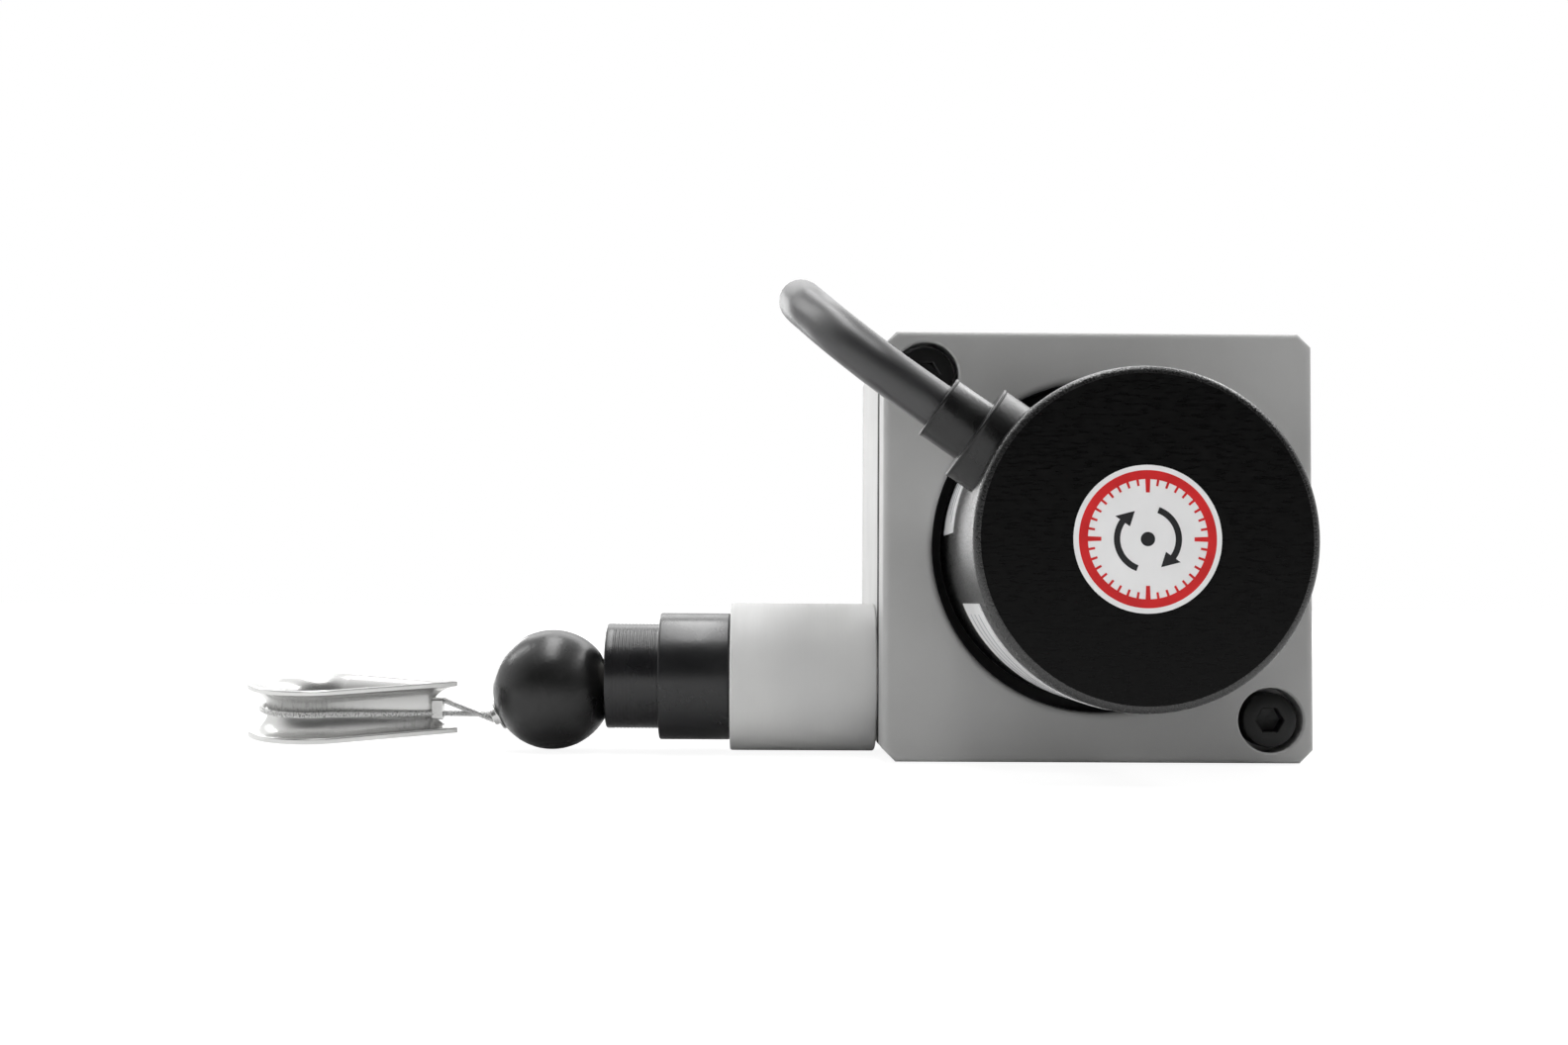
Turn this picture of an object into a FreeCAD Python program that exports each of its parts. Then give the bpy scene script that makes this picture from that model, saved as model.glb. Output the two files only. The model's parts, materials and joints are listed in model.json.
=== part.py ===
import FreeCAD, Part
import math
import os

# Draw-wire encoder: a spring-returned wire drum in a square housing turns a rotary encoder.
# Millimetres. X runs right, Y runs back from the face with the encoder, Z runs up.
# The origin is the middle of the housing's underside.

Vector = FreeCAD.Vector

# Housing
HOUSING_WALL = 5.0
PLATE_FLOOR = 4.0
COVER_THICKNESS = 5.0
CORNER_CHAMFER = 1.7
FACE_CHAMFER = 0.6
BEARING_LIP = 1.0
WALL_LIP = 2.0
PLATE_BOSS_RADIUS = 11.0

# Fits
SEAT_GAP = 0.02
SLIP_GAP = 0.05
FREE_GAP = 0.3

# Screws
CORNER_SCREW_INSET = 5.5
PLATE_SCREW_RADIUS = 2.0
PLATE_SCREW_LENGTH = 16.0
PLATE_HEAD_RADIUS = 3.5
PLATE_HEAD_HEIGHT = 4.0
PLATE_HEAD_SINK = 0.4
PLATE_HEX_ACROSS = 3.0
PLATE_HEX_DEPTH = 2.0
COUNTERBORE_GAP = 0.65
SMALL_SCREW_RADIUS = 1.5
SMALL_HEAD_RADIUS = 2.8
SMALL_HEX_ACROSS = 2.0
COVER_SCREW_LENGTH = 12.0
ENCODER_SCREW_LENGTH = 8.0
ENCODER_SCREW_INSET = 4.0
ENCODER_SCREW_COUNT = 3
ENCODER_SCREW_ANGLE = 90.0
TAP_RUNOUT = 1.0

# Base mount
BASE_HOLE_RADIUS = 1.65
BASE_HOLE_DEPTH = 7.0
BASE_SPACING_X = 34.0
BASE_SPACING_Y = 20.0

# Bearings, one size throughout
BEARING_BORE = 4.0
BEARING_OUTER = 8.0
BEARING_WIDTH = 5.0
BALL_RADIUS = 1.0
BALL_COUNT = 7
RING_THICKNESS = 1.2

# Drum, wire and spring
WIRE_RADIUS = 0.4
DRUM_PITCH_RADIUS = 17.5
DRUM_FLANGE_HEIGHT = 2.5
DRUM_FLANGE = 1.15
DRUM_TURNS = 10
GROOVE_PITCH = 0.95
GROOVE_CREST = 0.15
DRUM_RIM_GAP = 2.1
DRUM_SIDE_GAP = 0.6
HUB_RECESS_GAP = 1.0
SHAFT_NOSE_RADIUS = 3.0
SHAFT_NOSE_LENGTH = 18.5
KEY_WIDTH = 2.0
KEY_HEIGHT = 2.0
KEY_LENGTH = 7.0
SPRING_WIDTH = 11.0
SPRING_SIDE_GAP = 1.0
SPRING_STRIP = 0.4
SPRING_TURNS = 7
ARBOR_RADIUS = 6.6
ARBOR_SLOT_WIDTH = 1.0
ARBOR_SLOT_DEPTH = 1.6
ANCHOR_PIN_RADIUS = 1.0
ANCHOR_PIN_SEAT = 3.0
ANCHOR_PIN_GAP = 0.2

# Encoder
CAN_RADIUS = 19.5
CAN_HEIGHT = 30.7
CAN_WALL = 1.0
CAN_END_WALL = 1.2
CAN_FILLET = 1.8
POCKET_GAP = 2.1
POCKET_DEPTH = 8.0
ENCODER_BASE_THICKNESS = 6.0
ENCODER_BOSS_RADIUS = 10.0
ENCODER_BOSS_HEIGHT = 6.0
BEARING_RIB = 1.5
HOLLOW_SHAFT_LENGTH = 19.0
HUB_RADIUS = 8.5
HUB_WIDTH = 4.0
HUB_SCREW_RADIUS = 1.25
DISC_RIM_GAP = 0.4
DISC_THICKNESS = 0.8
DISC_GAP = 0.4
RETICLE_THICKNESS = 0.5
DETECTOR_HEIGHT = 3.2
SENSOR_WIDTH = 5.0
SENSOR_SPAN = 6.0
SENSOR_BOSS_GAP = 0.5
BOARD_EDGE_GAP = 1.5
BOARD_THICKNESS = 1.6
STANDOFF_RADIUS = 1.3
STANDOFF_INSET = 1.8
STANDOFF_COUNT = 3
STANDOFF_ANGLE = 30.0
CONNECTOR_WIDTH = 8.0
CONNECTOR_DEPTH = 6.0
CONNECTOR_HEIGHT = 6.0
STICKER_RADIUS = 8.3
STICKER_THICKNESS = 0.15
LABEL_THICKNESS = 0.12
UPPER_LABEL_ANGLES = (150.0, 176.0)
UPPER_LABEL_DEPTHS = (-9.0, 2.0)
LOWER_LABEL_ANGLES = (202.0, 262.0)
LOWER_LABEL_DEPTHS = (-25.0, -8.0)

# Cable grommet, set radially in the can
GROMMET_ANGLE = 34.5
GROMMET_DEPTH = -22.0
GROMMET_NECK_RADIUS = 4.0
GROMMET_FLANGE_RADIUS = 5.2
GROMMET_FLANGE = 1.2
COLLAR_RADIUS = 5.95
COLLAR_HEIGHT = 2.75
SLEEVE_RADIUS = 3.85
SLEEVE_LENGTH = 5.2
CABLE_INLET_RADIUS = 13.0
INNER_LEAD_RADIUS = 0.45

# Wire outlet
OUTLET_RADIUS = 10.0
OUTLET_LENGTH = 19.6
OUTLET_SPIGOT_RADIUS = 5.0
OUTLET_SPIGOT_LENGTH = 6.0
OUTLET_SOCKET_RADIUS = 6.0
FELT_LENGTH = 5.0
WIRE_WAY_RADIUS = 2.0
BUSH_RADIUS = 8.6
BUSH_LENGTH = 9.6
BUSH_SPIGOT_LENGTH = 9.0
NOZZLE_RADIUS = 7.1
NOZZLE_LENGTH = 7.2
NOZZLE_SPIGOT_RADIUS = 4.5
NOZZLE_SPIGOT_LENGTH = 7.0
MOUTH_RADIUS = 5.4
MOUTH_DEPTH = 1.2
EYELET_RADIUS = 3.2
EYELET_BORE = 0.8
EYELET_LENGTH = 3.0
EDGE_BREAK = 0.5

# Wire end: ball stop, loop and thimble
BALL_STOP_RADIUS = 8.1
BALL_STOP_FLAT = 0.3
BALL_HOLE_RADIUS = 0.9
BALL_STOP_GAP = 0.1
BALL_STOP_DROP = 1.9
BALL_STOP_TILT = 25.0
BALL_SINK_RIM = 0.2
BALL_SINK_DEPTH = 1.4
FERRULE_RADIUS = 1.25
FERRULE_LENGTH = 1.2
FERRULE_FLANGE_RADIUS = 2.2
FERRULE_FLANGE = 0.4
STRAND_SPREAD_FERRULE = 0.45
STRAND_SPREAD_TIP = 0.9
THIMBLE_RIM_RADIUS = 9.2
THIMBLE_GROOVE_RADIUS = 6.6
THIMBLE_EYE_RADIUS = 5.7
THIMBLE_HALF_WIDTH = 3.55
THIMBLE_RIM = 0.7
THIMBLE_TIP = 19.0
THIMBLE_TILT = 6.3
THIMBLE_BEYOND_BALL = 32.0
THIMBLE_DROP = 4.35
CRIMP_LENGTH = 1.4
CRIMP_HALF_HEIGHT = 1.5
CRIMP_HALF_WIDTH = 0.9
CRIMP_FROM_TIP = 2.6

# Signal cable
CABLE_RADIUS = 2.75
CABLE_FIRST_RUN = 6.2
COIL_CENTRE_X = 12.0
COIL_CENTRE_Y = 80.0
COIL_MEAN_RADIUS = 30.0
COIL_SIDE_BY_SIDE = 2
COIL_LAYERS = 2
TIE_THICKNESS = 1.0
TIE_WIDTH = 4.0
TIE_ANGLE = 20.0
TAIL_ANGLE = -60.0
TAIL_LENGTH = 25.0
LEAD_RADIUS = 0.6
LEAD_LENGTH = 20.0
LEAD_COUNT = 5
LEAD_ANGLE = 90.0
LEAD_PITCH_RADIUS = 1.6
CORD_BEND_SHARE = 0.45
CABLE_POINTS = [
    (-32.15, -45.1, 50.25),
    (-35.5, -41.5, 53.55),
    (-37.6, -35.9, 56.35),
    (-38.25, -26.8, 58.6),
    (-38.0, -13.5, 60.3),
    (-36.6, 1.0, 61.3),
    (-33.7, 15.3, 61.3),
    (-28.9, 28.4, 59.4),
    (-23.1, 38.4, 54.6),
    (-21.4, 45.8, 45.9),
    (-20.9, 50.9, 35.0),
    (-20.8, 56.8, 23.6),
    (-20.75, 65.8, 14.3),
    (-20.75, 77.3, 9.25),
]

# Places worked out from the sizes above
TOLERANCE = 1e-6
ALONG_X = Vector(1, 0, 0)
ALONG_Y = Vector(0, 1, 0)
ALONG_Z = Vector(0, 0, 1)
ORIGIN = Vector(0, 0, 0)
DRUM_FLANGE_RADIUS = DRUM_PITCH_RADIUS + WIRE_RADIUS + DRUM_FLANGE_HEIGHT
CHAMBER_RADIUS = DRUM_FLANGE_RADIUS + DRUM_RIM_GAP
HALF_WIDTH = CHAMBER_RADIUS + HOUSING_WALL
AXIS_Z = HALF_WIDTH
AXIS = Vector(0, 0, AXIS_Z)
DRUM_WIDTH = DRUM_TURNS * GROOVE_PITCH + 2 * DRUM_FLANGE
DRUM_CHAMBER_DEPTH = DRUM_WIDTH + 2 * DRUM_SIDE_GAP
MID_WALL = WALL_LIP + BEARING_WIDTH
SPRING_CHAMBER_DEPTH = SPRING_WIDTH + 2 * SPRING_SIDE_GAP
PLATE_THICKNESS = POCKET_DEPTH + PLATE_FLOOR
BODY_DEPTH = DRUM_CHAMBER_DEPTH + MID_WALL + SPRING_CHAMBER_DEPTH
FRONT_Y = -(PLATE_THICKNESS + BODY_DEPTH + COVER_THICKNESS) / 2
POCKET_Y = FRONT_Y + POCKET_DEPTH
POCKET_RADIUS = CAN_RADIUS + POCKET_GAP
PLATE_REAR_Y = FRONT_Y + PLATE_THICKNESS
DRUM_Y = PLATE_REAR_Y + DRUM_SIDE_GAP
MID_WALL_Y = PLATE_REAR_Y + DRUM_CHAMBER_DEPTH
SPRING_CHAMBER_Y = MID_WALL_Y + MID_WALL
SPRING_Y = SPRING_CHAMBER_Y + SPRING_SIDE_GAP
COVER_Y = PLATE_REAR_Y + BODY_DEPTH
REAR_Y = COVER_Y + COVER_THICKNESS
CORNER_OFFSET = HALF_WIDTH - CORNER_SCREW_INSET
DIAGONAL = ((-CORNER_OFFSET, CORNER_OFFSET), (CORNER_OFFSET, -CORNER_OFFSET))
CORNERS = DIAGONAL + ((CORNER_OFFSET, CORNER_OFFSET), (-CORNER_OFFSET, -CORNER_OFFSET))
HEAD_SEAT_Y = FRONT_Y + PLATE_HEAD_HEIGHT + PLATE_HEAD_SINK

BEARING_LIP_RADIUS = BEARING_OUTER - RING_THICKNESS
BEARING_PITCH_RADIUS = (BEARING_BORE + BEARING_OUTER) / 2
FRONT_BEARING_Y = POCKET_Y + BEARING_LIP
PLATE_BOSS_Y = FRONT_BEARING_Y + BEARING_WIDTH
REAR_BEARING_Y = SPRING_CHAMBER_Y - BEARING_WIDTH
DRUM_BEARING_YS = (FRONT_BEARING_Y, REAR_BEARING_Y)
SHAFT_RADIUS = BEARING_BORE - SEAT_GAP
SHAFT_STEP_Y = SPRING_CHAMBER_Y + FREE_GAP
SHAFT_REAR_Y = SPRING_Y + SPRING_WIDTH - FREE_GAP
HUB_FACE_Y = PLATE_BOSS_Y + FREE_GAP
SPRING_INNER_RADIUS = ARBOR_RADIUS + FREE_GAP
ANCHOR_PIN_X = CHAMBER_RADIUS - ANCHOR_PIN_GAP - ANCHOR_PIN_RADIUS
SPRING_OUTER_RADIUS = ANCHOR_PIN_X - ANCHOR_PIN_RADIUS - SLIP_GAP - SPRING_STRIP
SPRING_PITCH = (SPRING_OUTER_RADIUS - SPRING_INNER_RADIUS) / SPRING_TURNS

ENCODER_FLOOR_Y = POCKET_Y - ENCODER_BASE_THICKNESS
BOSS_Y = ENCODER_FLOOR_Y - ENCODER_BOSS_HEIGHT
ENCODER_BEARING_YS = (BOSS_Y, BOSS_Y + BEARING_WIDTH + BEARING_RIB)
HOLLOW_SHAFT_Y = FRONT_BEARING_Y - SLIP_GAP
HUB_Y = BOSS_Y - FREE_GAP - HUB_WIDTH
DISC_Y = HUB_Y - DISC_THICKNESS
RETICLE_Y = DISC_Y - DISC_GAP - RETICLE_THICKNESS
BOARD_REAR_Y = RETICLE_Y - DETECTOR_HEIGHT
BOARD_Y = BOARD_REAR_Y - BOARD_THICKNESS
CAN_FRONT_Y = FRONT_Y - CAN_HEIGHT
CAN_REAR_Y = POCKET_Y - FREE_GAP
CAN_INNER = CAN_RADIUS - CAN_WALL
ENCODER_SCREW_CIRCLE = CAN_INNER - ENCODER_SCREW_INSET
BOARD_RADIUS = CAN_INNER - BOARD_EDGE_GAP
STANDOFF_CIRCLE = BOARD_RADIUS - STANDOFF_INSET
DISC_RADIUS = STANDOFF_CIRCLE - STANDOFF_RADIUS - DISC_RIM_GAP
SENSOR_INNER = ENCODER_BOSS_RADIUS + SENSOR_BOSS_GAP

GROMMET_CENTRE = Vector(0, FRONT_Y + GROMMET_DEPTH, AXIS_Z)
GROMMET_AXIS = Vector(-math.cos(math.radians(GROMMET_ANGLE)), 0, math.sin(math.radians(GROMMET_ANGLE)))
COLLAR_TOP = CAN_RADIUS + COLLAR_HEIGHT
SLEEVE_TOP = COLLAR_TOP + SLEEVE_LENGTH
CABLE_START = GROMMET_CENTRE + GROMMET_AXIS * SLEEVE_TOP

OUTLET_Y = PLATE_REAR_Y + DRUM_CHAMBER_DEPTH / 2
OUTLET_Z = AXIS_Z - DRUM_PITCH_RADIUS
OUTLET_AXIS = Vector(0, OUTLET_Y, OUTLET_Z)
OUTLET_SPIGOT_X = -HALF_WIDTH + OUTLET_SPIGOT_LENGTH
OUTLET_END_X = -HALF_WIDTH - OUTLET_LENGTH
BUSH_SPIGOT_X = OUTLET_END_X + BUSH_SPIGOT_LENGTH
SOCKET_FLOOR_X = BUSH_SPIGOT_X + FELT_LENGTH
BUSH_END_X = OUTLET_END_X - BUSH_LENGTH
NOZZLE_SPIGOT_X = BUSH_END_X + NOZZLE_SPIGOT_LENGTH
NOZZLE_END_X = BUSH_END_X - NOZZLE_LENGTH
EYELET_X = NOZZLE_END_X + MOUTH_DEPTH
BALL_HALF_LENGTH = BALL_STOP_RADIUS - BALL_STOP_FLAT
BALL_SINK_RADIUS = math.sqrt(BALL_STOP_RADIUS ** 2 - BALL_HALF_LENGTH ** 2) - BALL_SINK_RIM
BALL_RIM_REACH = math.sqrt((BALL_STOP_RADIUS + BALL_STOP_GAP) ** 2 - (MOUTH_RADIUS - BALL_STOP_DROP) ** 2)
BALL_CENTRE = Vector(NOZZLE_END_X - BALL_RIM_REACH, OUTLET_Y, OUTLET_Z - BALL_STOP_DROP)
BALL_TILT = math.radians(BALL_STOP_TILT)
BALL_AXIS = Vector(math.cos(BALL_TILT), 0, math.sin(BALL_TILT))
BALL_UP = Vector(-math.sin(BALL_TILT), 0, math.cos(BALL_TILT))
WIRE_END = Vector(EYELET_X - SLIP_GAP, OUTLET_Y, OUTLET_Z)
THIMBLE_CENTRE = Vector(BALL_CENTRE.x - THIMBLE_BEYOND_BALL, OUTLET_Y, OUTLET_Z - THIMBLE_DROP)
TIP_HALF_ANGLE = math.asin(THIMBLE_RIM_RADIUS / THIMBLE_TIP)
THIMBLE_TURN = 90 - math.degrees(TIP_HALF_ANGLE)
LOOP_RADIUS = THIMBLE_GROOVE_RADIUS + WIRE_RADIUS + FREE_GAP

COIL_BASE = Vector(COIL_CENTRE_X, COIL_CENTRE_Y, TIE_THICKNESS)
COIL_INNER = COIL_MEAN_RADIUS - COIL_SIDE_BY_SIDE * CABLE_RADIUS
COIL_OUTER = COIL_MEAN_RADIUS + COIL_SIDE_BY_SIDE * CABLE_RADIUS
COIL_HEIGHT = COIL_LAYERS * 2 * CABLE_RADIUS


def turned(points, base, direction):
    """Solid of revolution from (radius, distance along the axis) corners."""
    corners = [Vector(radius, 0, distance) for radius, distance in points]
    face = Part.Face(Part.makePolygon(corners + corners[:1]))
    solid = face.revolve(ORIGIN, ALONG_Z, 360)
    solid.Placement = FreeCAD.Placement(base, FreeCAD.Rotation(ALONG_Z, direction))
    return solid


def ring(outer, inner, start, end, base=AXIS, direction=ALONG_Y):
    return turned([(inner, start), (outer, start), (outer, end), (inner, end)], base, direction)


def rod(radius, start, end, base=AXIS, direction=ALONG_Y):
    return Part.makeCylinder(radius, end - start, base + direction * start, direction)


def bar(radius, start, end):
    return Part.makeCylinder(radius, start.distanceToPoint(end), start, end - start)


def box(low, high):
    return Part.makeBox(high[0] - low[0], high[1] - low[1], high[2] - low[2], Vector(*low))


def cut_all(solid, tools):
    for tool in tools:
        solid = solid.cut(tool)
    return solid


def polar(radius, degrees, y):
    angle = math.radians(degrees)
    return Vector(radius * math.cos(angle), y, AXIS_Z + radius * math.sin(angle))


def spaced_angles(count, first):
    return [first + index * 360.0 / count for index in range(count)]


# Housing blocks

def square_block(start, end):
    inner = HALF_WIDTH - CORNER_CHAMFER
    outline = [
        (-inner, -HALF_WIDTH), (inner, -HALF_WIDTH), (HALF_WIDTH, -inner), (HALF_WIDTH, inner),
        (inner, HALF_WIDTH), (-inner, HALF_WIDTH), (-HALF_WIDTH, inner), (-HALF_WIDTH, -inner),
    ]
    corners = [Vector(x, start, AXIS_Z + z) for x, z in outline]
    face = Part.Face(Part.makePolygon(corners + corners[:1]))
    return face.extrude(Vector(0, end - start, 0))


def chamfered_at(block, y):
    edges = [edge for edge in block.Edges if all(abs(v.Y - y) < TOLERANCE for v in edge.Vertexes)]
    return block.makeChamfer(FACE_CHAMFER, edges)


def corner_rod(radius, corner, start, end):
    return rod(radius, start, end, AXIS + Vector(corner[0], 0, corner[1]))


def encoder_screw_places():
    angles = spaced_angles(ENCODER_SCREW_COUNT, ENCODER_SCREW_ANGLE)
    return [polar(ENCODER_SCREW_CIRCLE, angle, 0) for angle in angles]


def countersink(place, face_y):
    depth = SMALL_HEAD_RADIUS - SMALL_SCREW_RADIUS
    corners = [(0, 0), (SMALL_HEAD_RADIUS, 0), (SMALL_SCREW_RADIUS, depth), (0, depth)]
    return turned(corners, place + ALONG_Y * face_y, -ALONG_Y)


def front_plate():
    plate = chamfered_at(square_block(FRONT_Y, PLATE_REAR_Y), FRONT_Y)
    plate = plate.fuse(rod(PLATE_BOSS_RADIUS, POCKET_Y, PLATE_BOSS_Y))
    tools = [
        rod(POCKET_RADIUS, FRONT_Y, POCKET_Y),
        rod(BEARING_LIP_RADIUS, POCKET_Y, FRONT_BEARING_Y),
        rod(BEARING_OUTER + SEAT_GAP, FRONT_BEARING_Y, PLATE_BOSS_Y),
    ]
    for corner in DIAGONAL:
        tools.append(corner_rod(PLATE_HEAD_RADIUS + COUNTERBORE_GAP, corner, FRONT_Y, HEAD_SEAT_Y))
        tools.append(corner_rod(PLATE_SCREW_RADIUS + SLIP_GAP, corner, FRONT_Y, PLATE_REAR_Y))
    for place in encoder_screw_places():
        tools.append(rod(SMALL_SCREW_RADIUS + SLIP_GAP, POCKET_Y, PLATE_REAR_Y, place))
        tools.append(countersink(place, PLATE_REAR_Y))
    return cut_all(plate, tools).removeSplitter()


def drum_housing():
    body = square_block(PLATE_REAR_Y, COVER_Y)
    plate_hole_end = HEAD_SEAT_Y + PLATE_SCREW_LENGTH + TAP_RUNOUT
    cover_hole_end = REAR_Y - COVER_SCREW_LENGTH - TAP_RUNOUT
    tools = [
        rod(CHAMBER_RADIUS, PLATE_REAR_Y, MID_WALL_Y),
        rod(CHAMBER_RADIUS, SPRING_CHAMBER_Y, COVER_Y),
        rod(BEARING_LIP_RADIUS, MID_WALL_Y, REAR_BEARING_Y),
        rod(BEARING_OUTER + SEAT_GAP, REAR_BEARING_Y, SPRING_CHAMBER_Y),
        rod(OUTLET_SPIGOT_RADIUS + SEAT_GAP, -HALF_WIDTH, OUTLET_SPIGOT_X, OUTLET_AXIS, ALONG_X),
        rod(WIRE_WAY_RADIUS, -HALF_WIDTH, 0, OUTLET_AXIS, ALONG_X),
        anchor_rod(ANCHOR_PIN_RADIUS + SEAT_GAP, SPRING_CHAMBER_Y),
    ]
    for corner in DIAGONAL:
        tools.append(corner_rod(PLATE_SCREW_RADIUS + SEAT_GAP, corner, PLATE_REAR_Y, plate_hole_end))
    for corner in CORNERS:
        tools.append(corner_rod(SMALL_SCREW_RADIUS + SEAT_GAP, corner, cover_hole_end, COVER_Y))
    for x_side in (-1, 1):
        for y_side in (-1, 1):
            place = Vector(x_side * BASE_SPACING_X / 2, y_side * BASE_SPACING_Y / 2, 0)
            tools.append(Part.makeCylinder(BASE_HOLE_RADIUS, BASE_HOLE_DEPTH, place))
    return cut_all(body, tools)


def rear_cover():
    cover = chamfered_at(square_block(COVER_Y, REAR_Y), REAR_Y)
    tools = []
    for corner in CORNERS:
        place = AXIS + Vector(corner[0], 0, corner[1])
        tools.append(rod(SMALL_SCREW_RADIUS + SLIP_GAP, COVER_Y, REAR_Y, place))
        tools.append(countersink(place, REAR_Y))
    return cut_all(cover, tools)


# Fasteners

def hexagon(across, base, direction, depth):
    reach = across / math.sqrt(3)
    corners = []
    for degrees in spaced_angles(6, 0.0):
        angle = math.radians(degrees)
        corners.append(Vector(reach * math.cos(angle), reach * math.sin(angle), 0))
    prism = Part.Face(Part.makePolygon(corners + corners[:1])).extrude(Vector(0, 0, depth))
    prism.Placement = FreeCAD.Placement(base, FreeCAD.Rotation(ALONG_Z, direction))
    return prism


def plate_screws():
    screws = []
    for corner in DIAGONAL:
        head_top = HEAD_SEAT_Y - PLATE_HEAD_HEIGHT
        head = corner_rod(PLATE_HEAD_RADIUS, corner, head_top, HEAD_SEAT_Y)
        shank = corner_rod(PLATE_SCREW_RADIUS, corner, HEAD_SEAT_Y, HEAD_SEAT_Y + PLATE_SCREW_LENGTH)
        place = AXIS + Vector(corner[0], head_top, corner[1])
        socket = hexagon(PLATE_HEX_ACROSS, place, ALONG_Y, PLATE_HEX_DEPTH)
        screws.append(head.fuse(shank).cut(socket))
    return Part.makeCompound(screws)


def flat_screw(place, face_y, length):
    depth = SMALL_HEAD_RADIUS - SMALL_SCREW_RADIUS
    corners = [
        (0, 0), (SMALL_HEAD_RADIUS - SLIP_GAP, 0), (SMALL_SCREW_RADIUS, depth - SLIP_GAP),
        (SMALL_SCREW_RADIUS, length), (0, length),
    ]
    base = place + ALONG_Y * face_y
    socket = hexagon(SMALL_HEX_ACROSS, base, -ALONG_Y, depth)
    return turned(corners, base, -ALONG_Y).cut(socket)


def cover_screws():
    screws = []
    for corner in CORNERS:
        place = AXIS + Vector(corner[0], 0, corner[1])
        screws.append(flat_screw(place, REAR_Y, COVER_SCREW_LENGTH))
    return Part.makeCompound(screws)


def encoder_screws():
    screws = [flat_screw(place, PLATE_REAR_Y, ENCODER_SCREW_LENGTH) for place in encoder_screw_places()]
    return Part.makeCompound(screws)


# Bearings

def raceway(start):
    centre = AXIS + ALONG_Y * (start + BEARING_WIDTH / 2)
    return Part.makeTorus(BEARING_PITCH_RADIUS, BALL_RADIUS + SLIP_GAP, centre, ALONG_Y)


def outer_rings(starts):
    rings = [ring(BEARING_OUTER, BEARING_LIP_RADIUS, y, y + BEARING_WIDTH).cut(raceway(y)) for y in starts]
    return Part.makeCompound(rings)


def inner_rings(starts):
    outer = BEARING_BORE + RING_THICKNESS
    rings = [ring(outer, BEARING_BORE, y, y + BEARING_WIDTH).cut(raceway(y)) for y in starts]
    return Part.makeCompound(rings)


def bearing_balls(starts):
    balls = []
    for y in starts:
        for angle in spaced_angles(BALL_COUNT, 0.0):
            centre = polar(BEARING_PITCH_RADIUS, angle, y + BEARING_WIDTH / 2)
            balls.append(Part.makeSphere(BALL_RADIUS, centre))
    return Part.makeCompound(balls)


# Drum, shaft and return spring

def groove_line(start, crest, root):
    points = [(crest, start)]
    for turn in range(DRUM_TURNS):
        points.append((root, start + (turn + 0.5) * GROOVE_PITCH))
        points.append((crest, start + (turn + 1) * GROOVE_PITCH))
    return points


def groove_root():
    return DRUM_PITCH_RADIUS - WIRE_RADIUS - SLIP_GAP


def key_box(gap):
    middle = (HUB_FACE_Y + DRUM_Y + DRUM_WIDTH) / 2
    low_z = AXIS_Z + BEARING_BORE - KEY_HEIGHT / 2 - gap
    high_z = AXIS_Z + BEARING_BORE + KEY_HEIGHT / 2 + gap
    half_width = KEY_WIDTH / 2 + gap
    half_length = KEY_LENGTH / 2 + gap
    return box((-half_width, middle - half_length, low_z), (half_width, middle + half_length, high_z))


def wire_drum():
    bore = BEARING_BORE + SEAT_GAP
    recess = PLATE_BOSS_RADIUS + HUB_RECESS_GAP
    grooves_start = DRUM_Y + DRUM_FLANGE
    end = DRUM_Y + DRUM_WIDTH
    profile = [
        (bore, HUB_FACE_Y), (recess, HUB_FACE_Y), (recess, DRUM_Y),
        (DRUM_FLANGE_RADIUS, DRUM_Y), (DRUM_FLANGE_RADIUS, grooves_start),
    ]
    profile += groove_line(grooves_start, groove_root() + GROOVE_CREST, groove_root())
    profile += [(DRUM_FLANGE_RADIUS, end - DRUM_FLANGE), (DRUM_FLANGE_RADIUS, end), (bore, end)]
    return turned(profile, AXIS, ALONG_Y).cut(key_box(SEAT_GAP))


def wire_winding():
    root = groove_root() + SEAT_GAP
    start = DRUM_Y + DRUM_FLANGE
    inner = groove_line(start, root + GROOVE_CREST, root)
    outer = groove_line(start, DRUM_PITCH_RADIUS, DRUM_PITCH_RADIUS + WIRE_RADIUS)
    return turned(inner + outer[::-1], AXIS, ALONG_Y)


def drum_shaft():
    nose_y = FRONT_BEARING_Y - SHAFT_NOSE_LENGTH
    profile = [
        (0, nose_y), (SHAFT_NOSE_RADIUS, nose_y), (SHAFT_NOSE_RADIUS, FRONT_BEARING_Y),
        (SHAFT_RADIUS, FRONT_BEARING_Y), (SHAFT_RADIUS, SHAFT_STEP_Y), (SHAFT_NOSE_RADIUS, SHAFT_STEP_Y),
        (SHAFT_NOSE_RADIUS, SHAFT_REAR_Y), (0, SHAFT_REAR_Y),
    ]
    return turned(profile, AXIS, ALONG_Y).cut(key_box(SEAT_GAP))


def spring_arbor():
    arbor = ring(ARBOR_RADIUS, SHAFT_NOSE_RADIUS + SEAT_GAP, SPRING_Y, SHAFT_REAR_Y)
    slot_low = (ARBOR_RADIUS - ARBOR_SLOT_DEPTH, SPRING_Y, AXIS_Z - ARBOR_SLOT_WIDTH / 2)
    slot_high = (ARBOR_RADIUS + ARBOR_SLOT_DEPTH, SHAFT_REAR_Y, AXIS_Z + ARBOR_SLOT_WIDTH / 2)
    return arbor.cut(box(slot_low, slot_high))


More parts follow.
